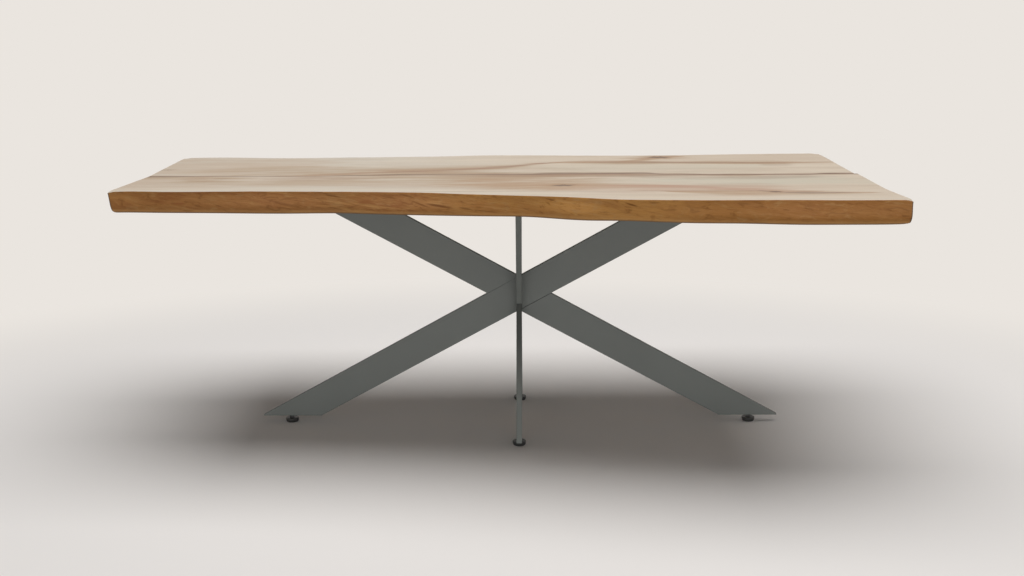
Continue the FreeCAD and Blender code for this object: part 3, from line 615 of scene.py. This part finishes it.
def oval(tree, along, across, spot, half_length, half_width):
    """Square of the distance from a spot, in half lengths and half widths of an oval."""
    off_along = offset(tree, along, spot[0], half_length)
    return squares(tree, off_along, offset(tree, across, spot[1], half_width))


def log_place(tree):
    """Coordinates in the log: along, across with the wander of the grain and round the knots, up."""
    place = own_place(tree)
    along, across, up = xyz(tree, place)
    quick = minus(tree, grain(tree, place, 9, 26, 26, 2.0, shift=7.0), 0.5)
    stained_across = times(tree, quick, STAIN_WANDER, across)
    slow = minus(tree, grain(tree, place, 1.6, 3.2, 3.2, 1.0), 0.5)
    across = times(tree, quick, QUICK_WANDER, across)
    across = times(tree, slow, SLOW_WANDER, across)
    for knot_along, knot_back, half_length, half_width, _ in KNOTS:
        reach = (half_length * KNOT_BEND_REACH[0], half_width * KNOT_BEND_REACH[1])
        away = oval(tree, along, across, (knot_along, knot_back), *reach)
        pull = sum_up(tree, "EXPONENT", times(tree, away, -1.0))
        off_across = minus(tree, across, knot_back)
        across = times(tree, times(tree, off_across, pull), -KNOT_BEND, across)
    wandered = lay(tree, "CombineXYZ", {0: along, 1: across, 2: up}).outputs[0]
    return place, wandered, along, across, up, stained_across


def from_pith(tree, across, up):
    """How far a place is behind the pith line, and how far over it."""
    out = minus(tree, across, PITH_BACK)
    return out, minus(tree, up, cad_high.z - PITH_BELOW_TOP)


def growth_rings(tree, wandered, across, up):
    """Distance from the pith as a saw-tooth from ring to ring, and a soft mask of the late wood."""
    radius = sum_up(tree, "SQRT", squares(tree, *from_pith(tree, across, up)))
    wobble = grain(tree, wandered, 0.9, 4.0, 4.0, 3.0, shift=3.0)
    count = times(tree, wobble, RING_WOBBLE, times(tree, radius, RINGS_PER_METRE))
    tooth = sum_up(tree, "FRACT", count)
    late = times(tree, level(tree, tooth, 0.45, 0.92), level(tree, tooth, 1.0, 0.94))
    return tooth, late


def heart_colours(tree, colour, wandered, along, across):
    """Lay the clouds, streaks and knots of the heartwood over the sapwood."""
    patchy = grain(tree, wandered, 3.5, 60, 60, 4.0, 0.62, shift=11.0)
    cloudy = minus(tree, grain(tree, wandered, 3.2, 15, 15, 5.0, 0.62, shift=51.0), 0.5)
    strands = minus(tree, grain(tree, wandered, 3.0, 120, 120, 4.0, 0.62, shift=71.0), 0.5)
    torn = times(tree, strands, CLOUD_FRAY[0], times(tree, cloudy, CLOUD_FRAY[1]))
    for stain, strength, spot_along, spot_back, half_length, half_width in CLOUDS.values():
        away = oval(tree, along, across, (spot_along, spot_back), half_length, half_width)
        stained = times(tree, level(tree, sum_up(tree, "ADD", torn, away), 1.3, -0.2), strength)
        colour = blend(tree, stained, colour, stain)
    frayed = times(tree, strands, STREAK_FRAY[0], times(tree, cloudy, STREAK_FRAY[1]))
    for stain, strength, softness, points in HEART_STREAKS.values():
        middle = bend_line(tree, along, [(x, y) for x, y, _ in points], cad_low.y, cad_high.y)
        half = bend_line(tree, along, [(x, width) for x, _, width in points], 0, WIDEST_STREAK)
        off = sum_up(tree, "ABSOLUTE", minus(tree, across, middle))
        off = sum_up(tree, "DIVIDE", off, sum_up(tree, "MAXIMUM", half, NARROWEST_STREAK))
        stained = level(tree, sum_up(tree, "ADD", off, frayed), 1 + softness, 1 - softness)
        stained = times(tree, stained, level(tree, half, 0.0, STREAK_TAPER))
        stained = times(tree, stained, level(tree, patchy, 0.32, 0.62, strength * 0.62, strength))
        colour = blend(tree, stained, colour, stain)
    for knot_along, knot_back, half_length, half_width, strength in KNOTS:
        off_along = offset(tree, along, knot_along, half_length)
        off_across = offset(tree, across, knot_back, half_width)
        away = squares(tree, off_along, off_across)
        spread = lay(tree, "CombineXYZ", {0: off_along, 1: off_across, 2: knot_along}).outputs[0]
        facing = lay(tree, "VectorMath", {0: spread}, operation="NORMALIZE").outputs["Vector"]
        fan = lay(tree, "TexNoise", {"Vector": facing, "Scale": KNOT_RAYS, "Detail": 3.0}).outputs[0]
        fan = level(tree, fan, 0.35, 0.65, 0.45, 1.9, soft=False)
        uneven = times(tree, sum_up(tree, "ADD", minus(tree, patchy, 0.5), away), fan)
        colour = tint(tree, colour, HEART_BROWN, uneven, 5.0, 0.6, 0.6 * strength)
        shells = sum_up(tree, "FRACT", times(tree, sum_up(tree, "SQRT", away), KNOT_SHELLS))
        core = times(tree, level(tree, uneven, 1.8, 0.4), level(tree, shells, 0, 0.9, 0.72, 1))
        colour = blend(tree, times(tree, core, 0.92 * strength), colour, STREAK_DARK)
    return colour


def surface(tree, output, colour, roughness, relief, strength, depth, gloss=0.5, metallic=0.0):
    """Finish a material: colour, roughness, and a pattern in relief, so many metres deep."""
    bump = lay(tree, "Bump", {"Strength": strength, "Distance": depth, "Height": relief})
    feeds = {"Base Color": colour, "Roughness": roughness, "Normal": bump.outputs[0]}
    feeds |= {"Specular IOR Level": gloss, "Metallic": metallic}
    shader = lay(tree, "BsdfPrincipled", feeds)
    tree.links.new(shader.outputs[0], output.inputs["Surface"])


def sawn_wood(name, shade, shade_share, roughness):
    """Wood of the sawn faces, top or underside, for both boards."""
    material, tree, output = fresh_material(name)
    place, wandered, along, across, up, stained_across = log_place(tree)
    drift = grain(tree, place, 0.7, 2.2, 2.2, 2.0, shift=21.0)
    cream = sum_up(tree, "ADD", drift, level(tree, along, -1.0, 0.9, -0.45, 0.45))
    colour = blend(tree, level(tree, cream, 0.15, 0.85), SAPWOOD_GREY, SAPWOOD_CREAM)
    broad = grain(tree, wandered, 0.45, 11, 11, 3.0, 0.55, shift=2.0)
    colour = tint(tree, colour, SAPWOOD_LIGHT, broad, 0.52, 0.74, 0.6)
    colour = tint(tree, colour, SAPWOOD_DEEP, broad, 0.47, 0.28, 0.6)
    blotch = grain(tree, wandered, 4.5, 26, 26, 4.0, 0.6, shift=61.0)
    colour = tint(tree, colour, SAPWOOD_LIGHT, blotch, 0.53, 0.72, 0.45)
    colour = tint(tree, colour, BEIGE, blotch, 0.47, 0.30, 0.45)
    colour = heart_colours(tree, colour, wandered, along, stained_across)
    narrow = grain(tree, wandered, 1.4, 75, 75, 4.0, 0.6, shift=5.0)
    colour = tint(tree, colour, SAPWOOD_LIGHT, narrow, 0.52, 0.76, 0.4)
    colour = tint(tree, colour, SAPWOOD_DEEP, narrow, 0.48, 0.25, 0.5)
    tooth, late = growth_rings(tree, wandered, across, up)
    plain = level(tree, grain(tree, wandered, 1.1, 7, 7, 2.0, shift=31.0), 0.35, 0.65, 0.08, 0.34)
    colour = blend(tree, times(tree, late, plain), colour, SAPWOOD_DEEP)

    pores = grain(tree, wandered, 48, 1500, 900, 1.0, shift=13.0)
    early = level(tree, tooth, 0.5, 0.05, 0.35, 1.0)
    pitted = times(tree, level(tree, pores, 0.62, 0.74), early)
    colour = blend(tree, times(tree, pitted, 0.42), colour, PORE_BROWN)
    fibres = grain(tree, wandered, 20, 700, 700, 2.0, shift=17.0)
    colour = tint(tree, colour, SAPWOOD_DEEP, fibres, 0.35, 0.65, 0.10)
    if shade_share:
        colour = blend(tree, shade_share, colour, shade)

    hollow = times(tree, pitted, -1.0, times(tree, late, 0.35))
    hollow = times(tree, fibres, 0.3, hollow)
    sheen = level(tree, narrow, 0.3, 0.7, roughness - 0.05, roughness + 0.07)
    surface(tree, output, colour, sheen, hollow, strength=0.5, depth=0.00025, gloss=0.28)
    return material


# The live edge: peeled, brushed and oiled to a golden brown, with the dark flecks and slanting
# figure of the wood just under the bark.

EDGE_BROWN = (0.25, 0.108, 0.034, 1)
EDGE_GOLD = (0.375, 0.182, 0.05, 1)
EDGE_HONEY = (0.4, 0.215, 0.075, 1)
EDGE_RED = (0.205, 0.072, 0.021, 1)
EDGE_AMBER = (0.232, 0.094, 0.022, 1)
EDGE_DARK = (0.105, 0.034, 0.006, 1)
EDGE_OLIVE = (0.325, 0.185, 0.072, 1)
# Colour of the painted shade at the foot of the edge and on its rolled corners at the ends.
EDGE_PAINTED_SHADE = (0.11, 0.078, 0.056, 1)
# Heights over the underside between which painted light makes the edge pale, and painted shade turns it
# grey.
LOWER_ARRIS_LIGHT_HEIGHTS = (0.014, 0.005)
LOWER_ARRIS_SHADE_HEIGHTS = (0.0055, 0.001)
END_CORNERS_FROM = 0.97
# How much amber, gold and red there is along the edge, and how lively the figure is: (X, share).
AMBER_ALONG = [(-1.04, 0.0), (0.3, 0.0), (0.55, 0.85), (0.8, 0.9), (1.04, 0.8)]
GOLD_ALONG = [
    (-1.04, 0.36), (-0.8, 0.1), (-0.45, 0.06), (-0.25, 0.12), (-0.07, 0.55), (0.11, 0.75),
    (0.26, 0.95), (0.42, 0.75), (0.57, 0.22), (0.75, 0.1), (1.04, 0.12),
]
RED_ALONG = [
    (-1.04, 0.3), (-0.85, 0.7), (-0.62, 0.45), (-0.45, 0.85), (-0.25, 0.7), (-0.05, 0.35),
    (0.2, 0.3), (0.45, 0.25), (0.75, 0.22), (1.04, 0.15),
]
FIGURE_ALONG = [
    (-1.04, 0.45), (-0.7, 0.6), (-0.45, 0.9), (-0.25, 1.0), (0.05, 0.75), (0.25, 0.8),
    (0.4, 0.45), (0.6, 0.25), (0.85, 0.4), (1.04, 0.45),
]
# Dark marks of each colour: strength, X, height, half length, half width and rise to the metre.
EDGE_MARKS = {
    EDGE_DARK: [
        (0.65, -0.234, 0.752, 0.016, 0.002, -0.21), (0.85, -0.197, 0.733, 0.019, 0.0018, -0.3),
        (1.0, -0.148, 0.73, 0.026, 0.0022, -0.12), (0.65, -0.079, 0.725, 0.013, 0.0017, -0.15),
        (0.5, -0.022, 0.719, 0.025, 0.0016, -0.1), (0.75, 0.135, 0.753, 0.013, 0.0016, -0.25),
        (0.9, 0.34, 0.747, 0.013, 0.0021, -0.3), (0.65, -0.429, 0.7495, 0.017, 0.0019, -0.15),
        (0.7, -0.812, 0.712, 0.011, 0.002, 0.0), (0.45, -0.557, 0.73, 0.036, 0.0025, -0.2),
        (0.65, 0.395, 0.753, 0.011, 0.0015, 0.0),
    ],
    EDGE_RED: [(0.9, -0.839, 0.73, 0.016, 0.0026, 0.0), (1.0, -0.342, 0.737, 0.017, 0.0042, 0.0)],
}


def live_edge_wood():
    """Oiled wood of the live edges, with painted light along the lower arris and painted shade at its
    foot and at the ends.
    """
    board_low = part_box("front_board")[0].z
    material, tree, output = fresh_material("live_edge_wood")
    place = own_place(tree)
    along, _, up = xyz(tree, place)
    gold = bend_line(tree, along, GOLD_ALONG, 0, 1)
    red = bend_line(tree, along, RED_ALONG, 0, 1)
    figure = bend_line(tree, along, FIGURE_ALONG, 0, 1)
    clouds = grain(tree, place, 4.5, 6, 26, 3.0, 0.55, distortion=0.8, shift=1.0, tilt=-0.1)
    patches = grain(tree, place, 6, 8, 38, 3.0, 0.6, distortion=0.7, shift=15.0, tilt=-0.16)
    streaks = grain(tree, place, 9, 12, 120, 4.0, 0.62, distortion=0.7, shift=4.0, tilt=-0.12)
    slant = grain(tree, place, 13, 20, 110, 4.0, 0.62, distortion=1.4, shift=9.0, tilt=-0.20)
    flecks = grain(tree, place, 21, 30, 190, 3.0, 0.6, distortion=0.6, shift=27.0, tilt=-0.11)
    fine = grain(tree, place, 26, 60, 520, 3.0, 0.6, shift=6.0, tilt=-0.08)
    golden = times(tree, level(tree, clouds, 0.30, 0.62, 0.7, 1.3), gold)
    colour = blend(tree, bend_line(tree, along, AMBER_ALONG, 0, 1), EDGE_BROWN, EDGE_AMBER)
    colour = blend(tree, golden, colour, EDGE_GOLD)
    ruddy = times(tree, level(tree, patches, 0.50, 0.64), times(tree, red, 0.8))
    colour = blend(tree, ruddy, colour, EDGE_RED)
    mottle = grain(tree, place, 22, 30, 62, 3.0, 0.6, distortion=1.2, shift=33.0, tilt=-0.12)
    colour = tint(tree, colour, EDGE_DARK, mottle, 0.54, 0.70, 0.42)
    colour = tint(tree, colour, EDGE_OLIVE, mottle, 0.46, 0.30, 0.42)
    light = times(tree, level(tree, streaks, 0.50, 0.32), times(tree, figure, 0.52))
    colour = blend(tree, light, colour, EDGE_HONEY)
    dark = times(tree, level(tree, slant, 0.52, 0.74), times(tree, figure, 0.42))
    colour = blend(tree, dark, colour, EDGE_DARK)
    spots = times(tree, level(tree, flecks, 0.60, 0.76), times(tree, figure, 0.55))
    colour = blend(tree, spots, colour, EDGE_DARK)
    colour = tint(tree, colour, EDGE_DARK, fine, 0.50, 0.72, 0.20)
    torn = sum_up(tree, "ADD", streaks, patches)
    for stain, marks in EDGE_MARKS.items():
        for strength, mark_x, mark_z, half_length, half_width, rise in marks:
            sloped = times(tree, minus(tree, along, mark_x), -rise, up)
            away = oval(tree, along, sloped, (mark_x, mark_z), half_length, half_width)
            away = times(tree, minus(tree, torn, 1.0), 4.0, away)
            colour = tint(tree, colour, stain, away, 2.4, 0.0, strength * 0.8)
    # Painted light: a paler band along the lower arris, as if lit from the pale floor.
    wear_and_painted_light = level(tree, up, *(board_low + height for height in LOWER_ARRIS_LIGHT_HEIGHTS), 0, 0.6)
    wear_and_painted_light = times(tree, wear_and_painted_light, level(tree, patches, 0.3, 0.6, 0.5, 1.0))
    colour = blend(tree, wear_and_painted_light, colour, EDGE_HONEY)
    # Painted shade: the foot of the edge, where it rolls under, turns grey-dark.
    painted_shade_below = level(tree, up, *(board_low + height for height in LOWER_ARRIS_SHADE_HEIGHTS), 0, 0.7)
    colour = blend(tree, painted_shade_below, colour, EDGE_PAINTED_SHADE)
    # Painted shade: where the edge turns towards a sawn end, it is greyed as a shaded corner.
    facing = lay(tree, "NewGeometry").outputs["Normal"]
    sideways = sum_up(tree, "ABSOLUTE", xyz(tree, facing)[0])
    at_end = level(tree, sum_up(tree, "ABSOLUTE", along), END_CORNERS_FROM, 1.0)
    turned = times(tree, level(tree, sideways, 0.1, 0.5, 0, 0.8), at_end)
    colour = blend(tree, turned, colour, EDGE_PAINTED_SHADE)
    pores = grain(tree, place, 60, 500, 1400, 1.0, shift=13.0)
    pitted = level(tree, pores, 0.62, 0.74)
    colour = blend(tree, times(tree, pitted, 0.25), colour, EDGE_DARK)
    relief = times(tree, pitted, -0.7, sum_up(tree, "ADD", fine, streaks))
    relief = times(tree, spots, -1.5, relief)
    sheen = level(tree, fine, 0.3, 0.7, 0.62, 0.76)
    surface(tree, output, colour, sheen, relief, strength=0.6, depth=0.0006, gloss=0.12)
    return material


# The sawn ends: end grain, where the growth rings stand as arcs round the pith, crossed by fine
# rays and a few drying checks. Oil darkens it more than the faces.

END_PALE = (0.30, 0.185, 0.105, 1)
END_DEEP = (0.135, 0.070, 0.036, 1)
CHECK_DARK = (0.035, 0.020, 0.012, 1)
# Waves of the fine rays and of the wider drying checks, for each radian round the pith.
RAY_WAVES = 160
CHECK_WAVES = 26


def end_grain_wood():
    """Oiled end grain."""
    material, tree, output = fresh_material("end_grain_wood")
    place, wandered, _, across, up, _ = log_place(tree)
    tooth, late = growth_rings(tree, wandered, across, up)
    angle = sum_up(tree, "ARCTAN2", *from_pith(tree, across, up))
    spokes = lay(tree, "CombineXYZ", {0: times(tree, angle, RAY_WAVES), 1: up}).outputs[0]
    rays = lay(tree, "TexNoise", {"Vector": spokes, "Scale": 1.0, "Detail": 3.0}).outputs[0]
    turned = times(tree, angle, CHECK_WAVES)
    wide = lay(tree, "CombineXYZ", {0: turned, 1: up, 2: 0.5}).outputs[0]
    checks = lay(tree, "TexNoise", {"Vector": wide, "Scale": 1.0, "Detail": 4.0}).outputs[0]
    patchy = grain(tree, place, 3, 9, 18, 3.0, shift=41.0)
    colour = blend(tree, level(tree, patchy, 0.35, 0.65, 0.15, 0.6), END_PALE, END_DEEP)
    colour = blend(tree, times(tree, late, 0.55), colour, END_DEEP)
    colour = tint(tree, colour, END_PALE, rays, 0.55, 0.75, 0.35)
    pores = grain(tree, place, 300, 1100, 1100, 1.0, shift=3.0)
    pitted = times(tree, level(tree, pores, 0.60, 0.70), level(tree, tooth, 0.5, 0.05, 0.3, 1.0))
    colour = blend(tree, times(tree, pitted, 0.5), colour, CHECK_DARK)
    split = level(tree, checks, 0.72, 0.76)
    colour = blend(tree, times(tree, split, 0.8), colour, CHECK_DARK)
    relief = times(tree, split, -2.0, minus(tree, late, pitted))
    surface(tree, output, colour, 0.66, relief, strength=0.6, depth=0.0003, gloss=0.2)
    return material


# Both boards have the four finishes, in the order of TOP, FLANK, END and UNDER. The underside is left
# duller and browner than the top.
UNDERSIDE_BROWN = (0.16, 0.115, 0.080, 1)
board_finishes = [
    sawn_wood("oiled_top_wood", TAN, shade_share=0, roughness=0.56),
    live_edge_wood(),
    end_grain_wood(),
    sawn_wood("underside_wood", UNDERSIDE_BROWN, shade_share=0.35, roughness=0.7),
]
for node, facing, seed in (("front_board", -1, 3.0), ("rear_board", 1, 11.0)):
    piece = model_board(node, facing, seed)
    for finish in board_finishes:
        piece.data.materials.append(finish)
    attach(piece, "table")
    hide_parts(node)

# Loose tenons: eight flat pieces of steamed beech with round ends, glued into mortises in both
# boards. They are out of sight inside the joint.

BEECH = (0.52, 0.34, 0.22, 1)
BEECH_FLECK = (0.34, 0.19, 0.11, 1)


def dress(node, finish):
    """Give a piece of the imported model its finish."""
    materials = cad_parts[node].data.materials
    materials.clear()
    materials.append(finish)


material, tree, output = fresh_material("beech_tenon")
place = own_place(tree)
flecks = grain(tree, place, 700, 160, 700, 1.0)
bands = grain(tree, place, 60, 4, 60, 3.0)
colour = blend(tree, level(tree, bands, 0.35, 0.65, 0, 0.4), BEECH, BEECH_FLECK)
colour = tint(tree, colour, BEECH_FLECK, flecks, 0.60, 0.68, 0.7)
surface(tree, output, colour, 0.6, bands, strength=0.4, depth=0.0002)
dress("joint_tenons", material)

# Flat steel bars of the crossed base: cut from thick plate, edges eased, welded at the crossing and
# coated with a matt grey-green powder that shows a very fine orange peel.

COAT_DARK = (0.120, 0.129, 0.120, 1)
# The paler coat: painted light towards the floor, and the light specks.
COAT_PAINTED_LIGHT_AND_SPECKS = (0.200, 0.214, 0.201, 1)
# Painted light on the lower arms near the floor.
COAT_PAINTED_FLOOR_LIGHT = (0.300, 0.318, 0.300, 1)
COAT_SHADE = (0.034, 0.037, 0.034, 1)
SEAM_HALF = 0.0017
# Heights of painted shade darkening the lower arms upwards, and of painted light paling them near the
# floor.
ARM_SHADE_HEIGHTS = (0.10, 0.34)
ARM_PAINTED_LIGHT_HEIGHTS = (0.14, 0.03)


def seam_lines():
    """The long bar's two edges: X at its foot, height there, and X for each metre of height."""
    corners = [vertex.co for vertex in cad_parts["long_bar"].data.vertices]
    low, high = (pick(corner.z for corner in corners) for pick in (min, max))
    foot = [corner.x for corner in corners if corner.z < low + 0.0001]
    head = [corner.x for corner in corners if corner.z > high - 0.0001]
    return [(pick(foot), low, (pick(head) - pick(foot)) / (high - low)) for pick in (min, max)]


def powder_coat(name, shift, seams=(), arm=False):
    """Matt powder coat with fine dark lines at the seams; painted light makes it paler towards the floor,
    and painted shade darkens faces that look up and, on the lower arms, the part under the crossing.
    """
    material, tree, output = fresh_material(name)
    place = own_place(tree)
    along, _, up = xyz(tree, place)
    clouds = grain(tree, place, 3.2, 3.2, 3.2, 3.0, shift=shift)
    peel = grain(tree, place, 1250, 1250, 1250, 1.0, shift=shift)
    specks = grain(tree, place, 2600, 2600, 2600, 1.0, shift=shift + 4)
    # Painted light: the coat is painted paler towards the floor, with a little random tone from the
    # clouds.
    pale = level(tree, up, 0.74, 0.0, 0.1, 0.9)
    pale = sum_up(tree, "ADD", level(tree, clouds, 0.35, 0.65, -0.1, 0.1), pale)
    colour = blend(tree, pale, COAT_DARK, COAT_PAINTED_LIGHT_AND_SPECKS)
    if arm:
        # On the lower arms: painted shade under the crossing, and painted light near the floor.
        colour = blend(tree, level(tree, up, *ARM_SHADE_HEIGHTS, 0, 0.76), colour, COAT_SHADE)
        colour = blend(tree, level(tree, up, *ARM_PAINTED_LIGHT_HEIGHTS, 0, 0.14), colour, COAT_PAINTED_FLOOR_LIGHT)
    # Painted shade: faces that look up are darkened, as if shaded by the top.
    facing = lay(tree, "NewGeometry").outputs["True Normal"]
    colour = blend(tree, level(tree, xyz(tree, facing)[2], 0.55, 0.8, 0, 0.85), colour, COAT_SHADE)
    for foot_x, foot_z, lean in seams:
        rise = minus(tree, up, foot_z)
        off = minus(tree, along, times(tree, rise, lean, foot_x))
        off = times(tree, sum_up(tree, "ABSOLUTE", off), 1 / math.hypot(1, lean))
        colour = blend(tree, level(tree, off, SEAM_HALF, 0.0, 0, 0.9), colour, COAT_SHADE)
    colour = tint(tree, colour, COAT_PAINTED_LIGHT_AND_SPECKS, specks, 0.58, 0.72, 0.35)
    sheen = level(tree, clouds, 0.3, 0.7, 0.50, 0.58)
    surface(tree, output, colour, sheen, peel, strength=0.35, depth=0.00012, gloss=0.35)
    return material


bar_coat = powder_coat("anthracite_bar_coat", 0.0)
seamed_coat = powder_coat("anthracite_seamed_coat", 0.0, seams=seam_lines())
arm_coat = powder_coat("anthracite_arm_coat", 0.0, arm=True)
dress("long_bar", bar_coat)
dress("upper_half_bar", seamed_coat)
dress("lower_half_bar", seamed_coat)
for side in ("front", "rear"):
    dress(f"{side}_upper_arm", bar_coat)
    dress(f"{side}_lower_arm", arm_coat)

# Mounting plates: flat steel with four slots each, welded on the tops of the bars and coated with
# them. The slots lie across the grain, so that the wood can swell and shrink.

plate_coat = powder_coat("anthracite_plate_coat", 8.0)
SIDES = ("left", "right", "front", "rear")
for side in SIDES:
    dress(f"{side}_mounting_plate", plate_coat)

# Bolts and wide washers of zinc-plated steel hold the plates up against the wood, and screw into
# brass inserts with a coarse thread outside.


def plated_metal(name, colour, worn_colour, low, high):
    """Metal with faint marks from handling, and its lowest and highest roughness."""
    material, tree, output = fresh_material(name)
    place = own_place(tree)
    marks = grain(tree, place, 420, 420, 900, 3.0, 0.6)
    film = grain(tree, place, 90, 90, 90, 2.0, shift=5.0)
    tone = tint(tree, colour, worn_colour, film, 0.4, 0.62, 0.6)
    sheen = level(tree, marks, 0.3, 0.7, low, high)
    surface(tree, output, tone, sheen, marks, strength=0.3, depth=0.00005, metallic=1.0)
    return material


ZINC = (0.58, 0.58, 0.57, 1)
ZINC_WORN = (0.42, 0.43, 0.45, 1)
BRASS = (0.72, 0.50, 0.20, 1)
BRASS_DULL = (0.50, 0.33, 0.13, 1)
zinc = plated_metal("zinc_plated_steel", ZINC, ZINC_WORN, 0.28, 0.44)
brass = plated_metal("insert_brass", BRASS, BRASS_DULL, 0.30, 0.45)
dress("mounting_bolts", zinc)
dress("mounting_washers", zinc)
dress("threaded_inserts", brass)

# Levelling studs: a round head that turns in the pad, a hexagon collar for the spanner, and an
# eight-millimetre thread cut by rolling. The thread is modelled turn by turn.

DARK_ZINC = (0.13, 0.13, 0.13, 1)
DARK_ZINC_WORN = (0.075, 0.075, 0.08, 1)
THREAD_PITCH = 0.00125
THREAD_RADIUS = 0.004
THREAD_DEPTH = 0.0007
THREAD_RUN_IN = 3
RINGS_PER_TURN = 8
NECK_RADIUS = THREAD_RADIUS - 0.0001
HEAD_HEIGHT = 0.004
HEAD_EASE = 0.0004
COLLAR_CHAMFER = 0.0008
TIP_CHAMFER = 0.001
COLLAR_HEIGHT = 0.0046
COLLAR_FLATS = 0.013
COLLAR_OVER_PAD = 0.0006
STUD_SIDES = 48


def model_stud(side):
    """Mesh of one stud: a ring of points at each height, from the head to the tip."""
    low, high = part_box(f"{side}_foot_stud")
    pad_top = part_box(f"{side}_foot_pad")[1].z
    centre = (low + high) / 2
    head_radius = (high.x - low.x) / 2
    head_top = low.z + HEAD_HEIGHT
    collar_low = pad_top + COLLAR_OVER_PAD
    collar_high = collar_low + COLLAR_HEIGHT

    def round_ring(radius):
        return lambda angle: radius

    def hexagon_ring(limit):
        def radius(angle):
            turned = (angle + math.pi / 6) % (math.pi / 3) - math.pi / 6
            return min(COLLAR_FLATS / 2 / math.cos(turned), limit)
        return radius

    def thread_ring(height, deepest):
        def radius(angle):
            phase = (height / THREAD_PITCH - angle / math.tau) % 1
            return THREAD_RADIUS - min(abs(2 * phase - 1) * THREAD_DEPTH, deepest)
        return radius

    corner = COLLAR_FLATS / math.sqrt(3)
    rings = [
        (low.z, round_ring(head_radius - HEAD_EASE)),
        (low.z + HEAD_EASE, round_ring(head_radius)),
        (head_top - HEAD_EASE, round_ring(head_radius)),
        (head_top, round_ring(head_radius - HEAD_EASE)),
        (head_top, round_ring(NECK_RADIUS)),
        (collar_low, round_ring(NECK_RADIUS)),
        (collar_low, hexagon_ring(corner - COLLAR_CHAMFER)),
        (collar_low + COLLAR_CHAMFER / 2, hexagon_ring(corner)),
        (collar_high - COLLAR_CHAMFER / 2, hexagon_ring(corner)),
        (collar_high, hexagon_ring(corner - COLLAR_CHAMFER)),
        (collar_high, round_ring(NECK_RADIUS)),
    ]
    step = THREAD_PITCH / RINGS_PER_TURN
    height = collar_high + step
    while height < high.z - TIP_CHAMFER:
        run_in = min(THREAD_DEPTH, (height - collar_high) / THREAD_RUN_IN)
        rings.append((height, thread_ring(height, run_in)))
        height += step
    rings += [
        (high.z - TIP_CHAMFER, round_ring(THREAD_RADIUS - THREAD_DEPTH)),
        (high.z, round_ring(THREAD_RADIUS - TIP_CHAMFER)),
    ]

    def spot(angle, spoke, height):
        return Vector((centre.x + spoke * math.cos(angle), centre.y + spoke * math.sin(angle), height))

    angles = [math.tau * index / STUD_SIDES for index in range(STUD_SIDES)]
    turns = [[spot(angle, radius(angle), height) for angle in angles] for height, radius in rings]
    return skin(f"{side}_threaded_stud", turns)


dark_zinc = plated_metal("dark_zinc_plated_steel", DARK_ZINC, DARK_ZINC_WORN, 0.42, 0.56)
for side in SIDES:
    piece = model_stud(side)
    piece.data.materials.append(dark_zinc)
    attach(piece, f"{side}_stud")
    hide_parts(f"{side}_foot_stud")

# Foot pads: round glides of black moulded plastic with a fine spark-eroded texture, each with the
# head of its stud snapped in.

PLASTIC = (0.024, 0.024, 0.023, 1)
PLASTIC_WORN = (0.042, 0.041, 0.039, 1)
SCUFFED_UP_TO = 0.004

material, tree, output = fresh_material("glide_plastic")
place = own_place(tree)
texture = grain(tree, place, 2200, 2200, 2200, 2.0)
scuffs = grain(tree, place, 160, 160, 420, 4.0, 0.65, shift=3.0)
wear_and_painted_light = level(tree, xyz(tree, place)[2], SCUFFED_UP_TO, 0.0, 0.1, 0.9)
colour = blend(tree, times(tree, level(tree, scuffs, 0.5, 0.68), wear_and_painted_light), PLASTIC, PLASTIC_WORN)
sheen = level(tree, scuffs, 0.35, 0.65, 0.48, 0.62)
surface(tree, output, colour, sheen, texture, strength=0.5, depth=0.00008)
for side in SIDES:
    dress(f"{side}_foot_pad", material)
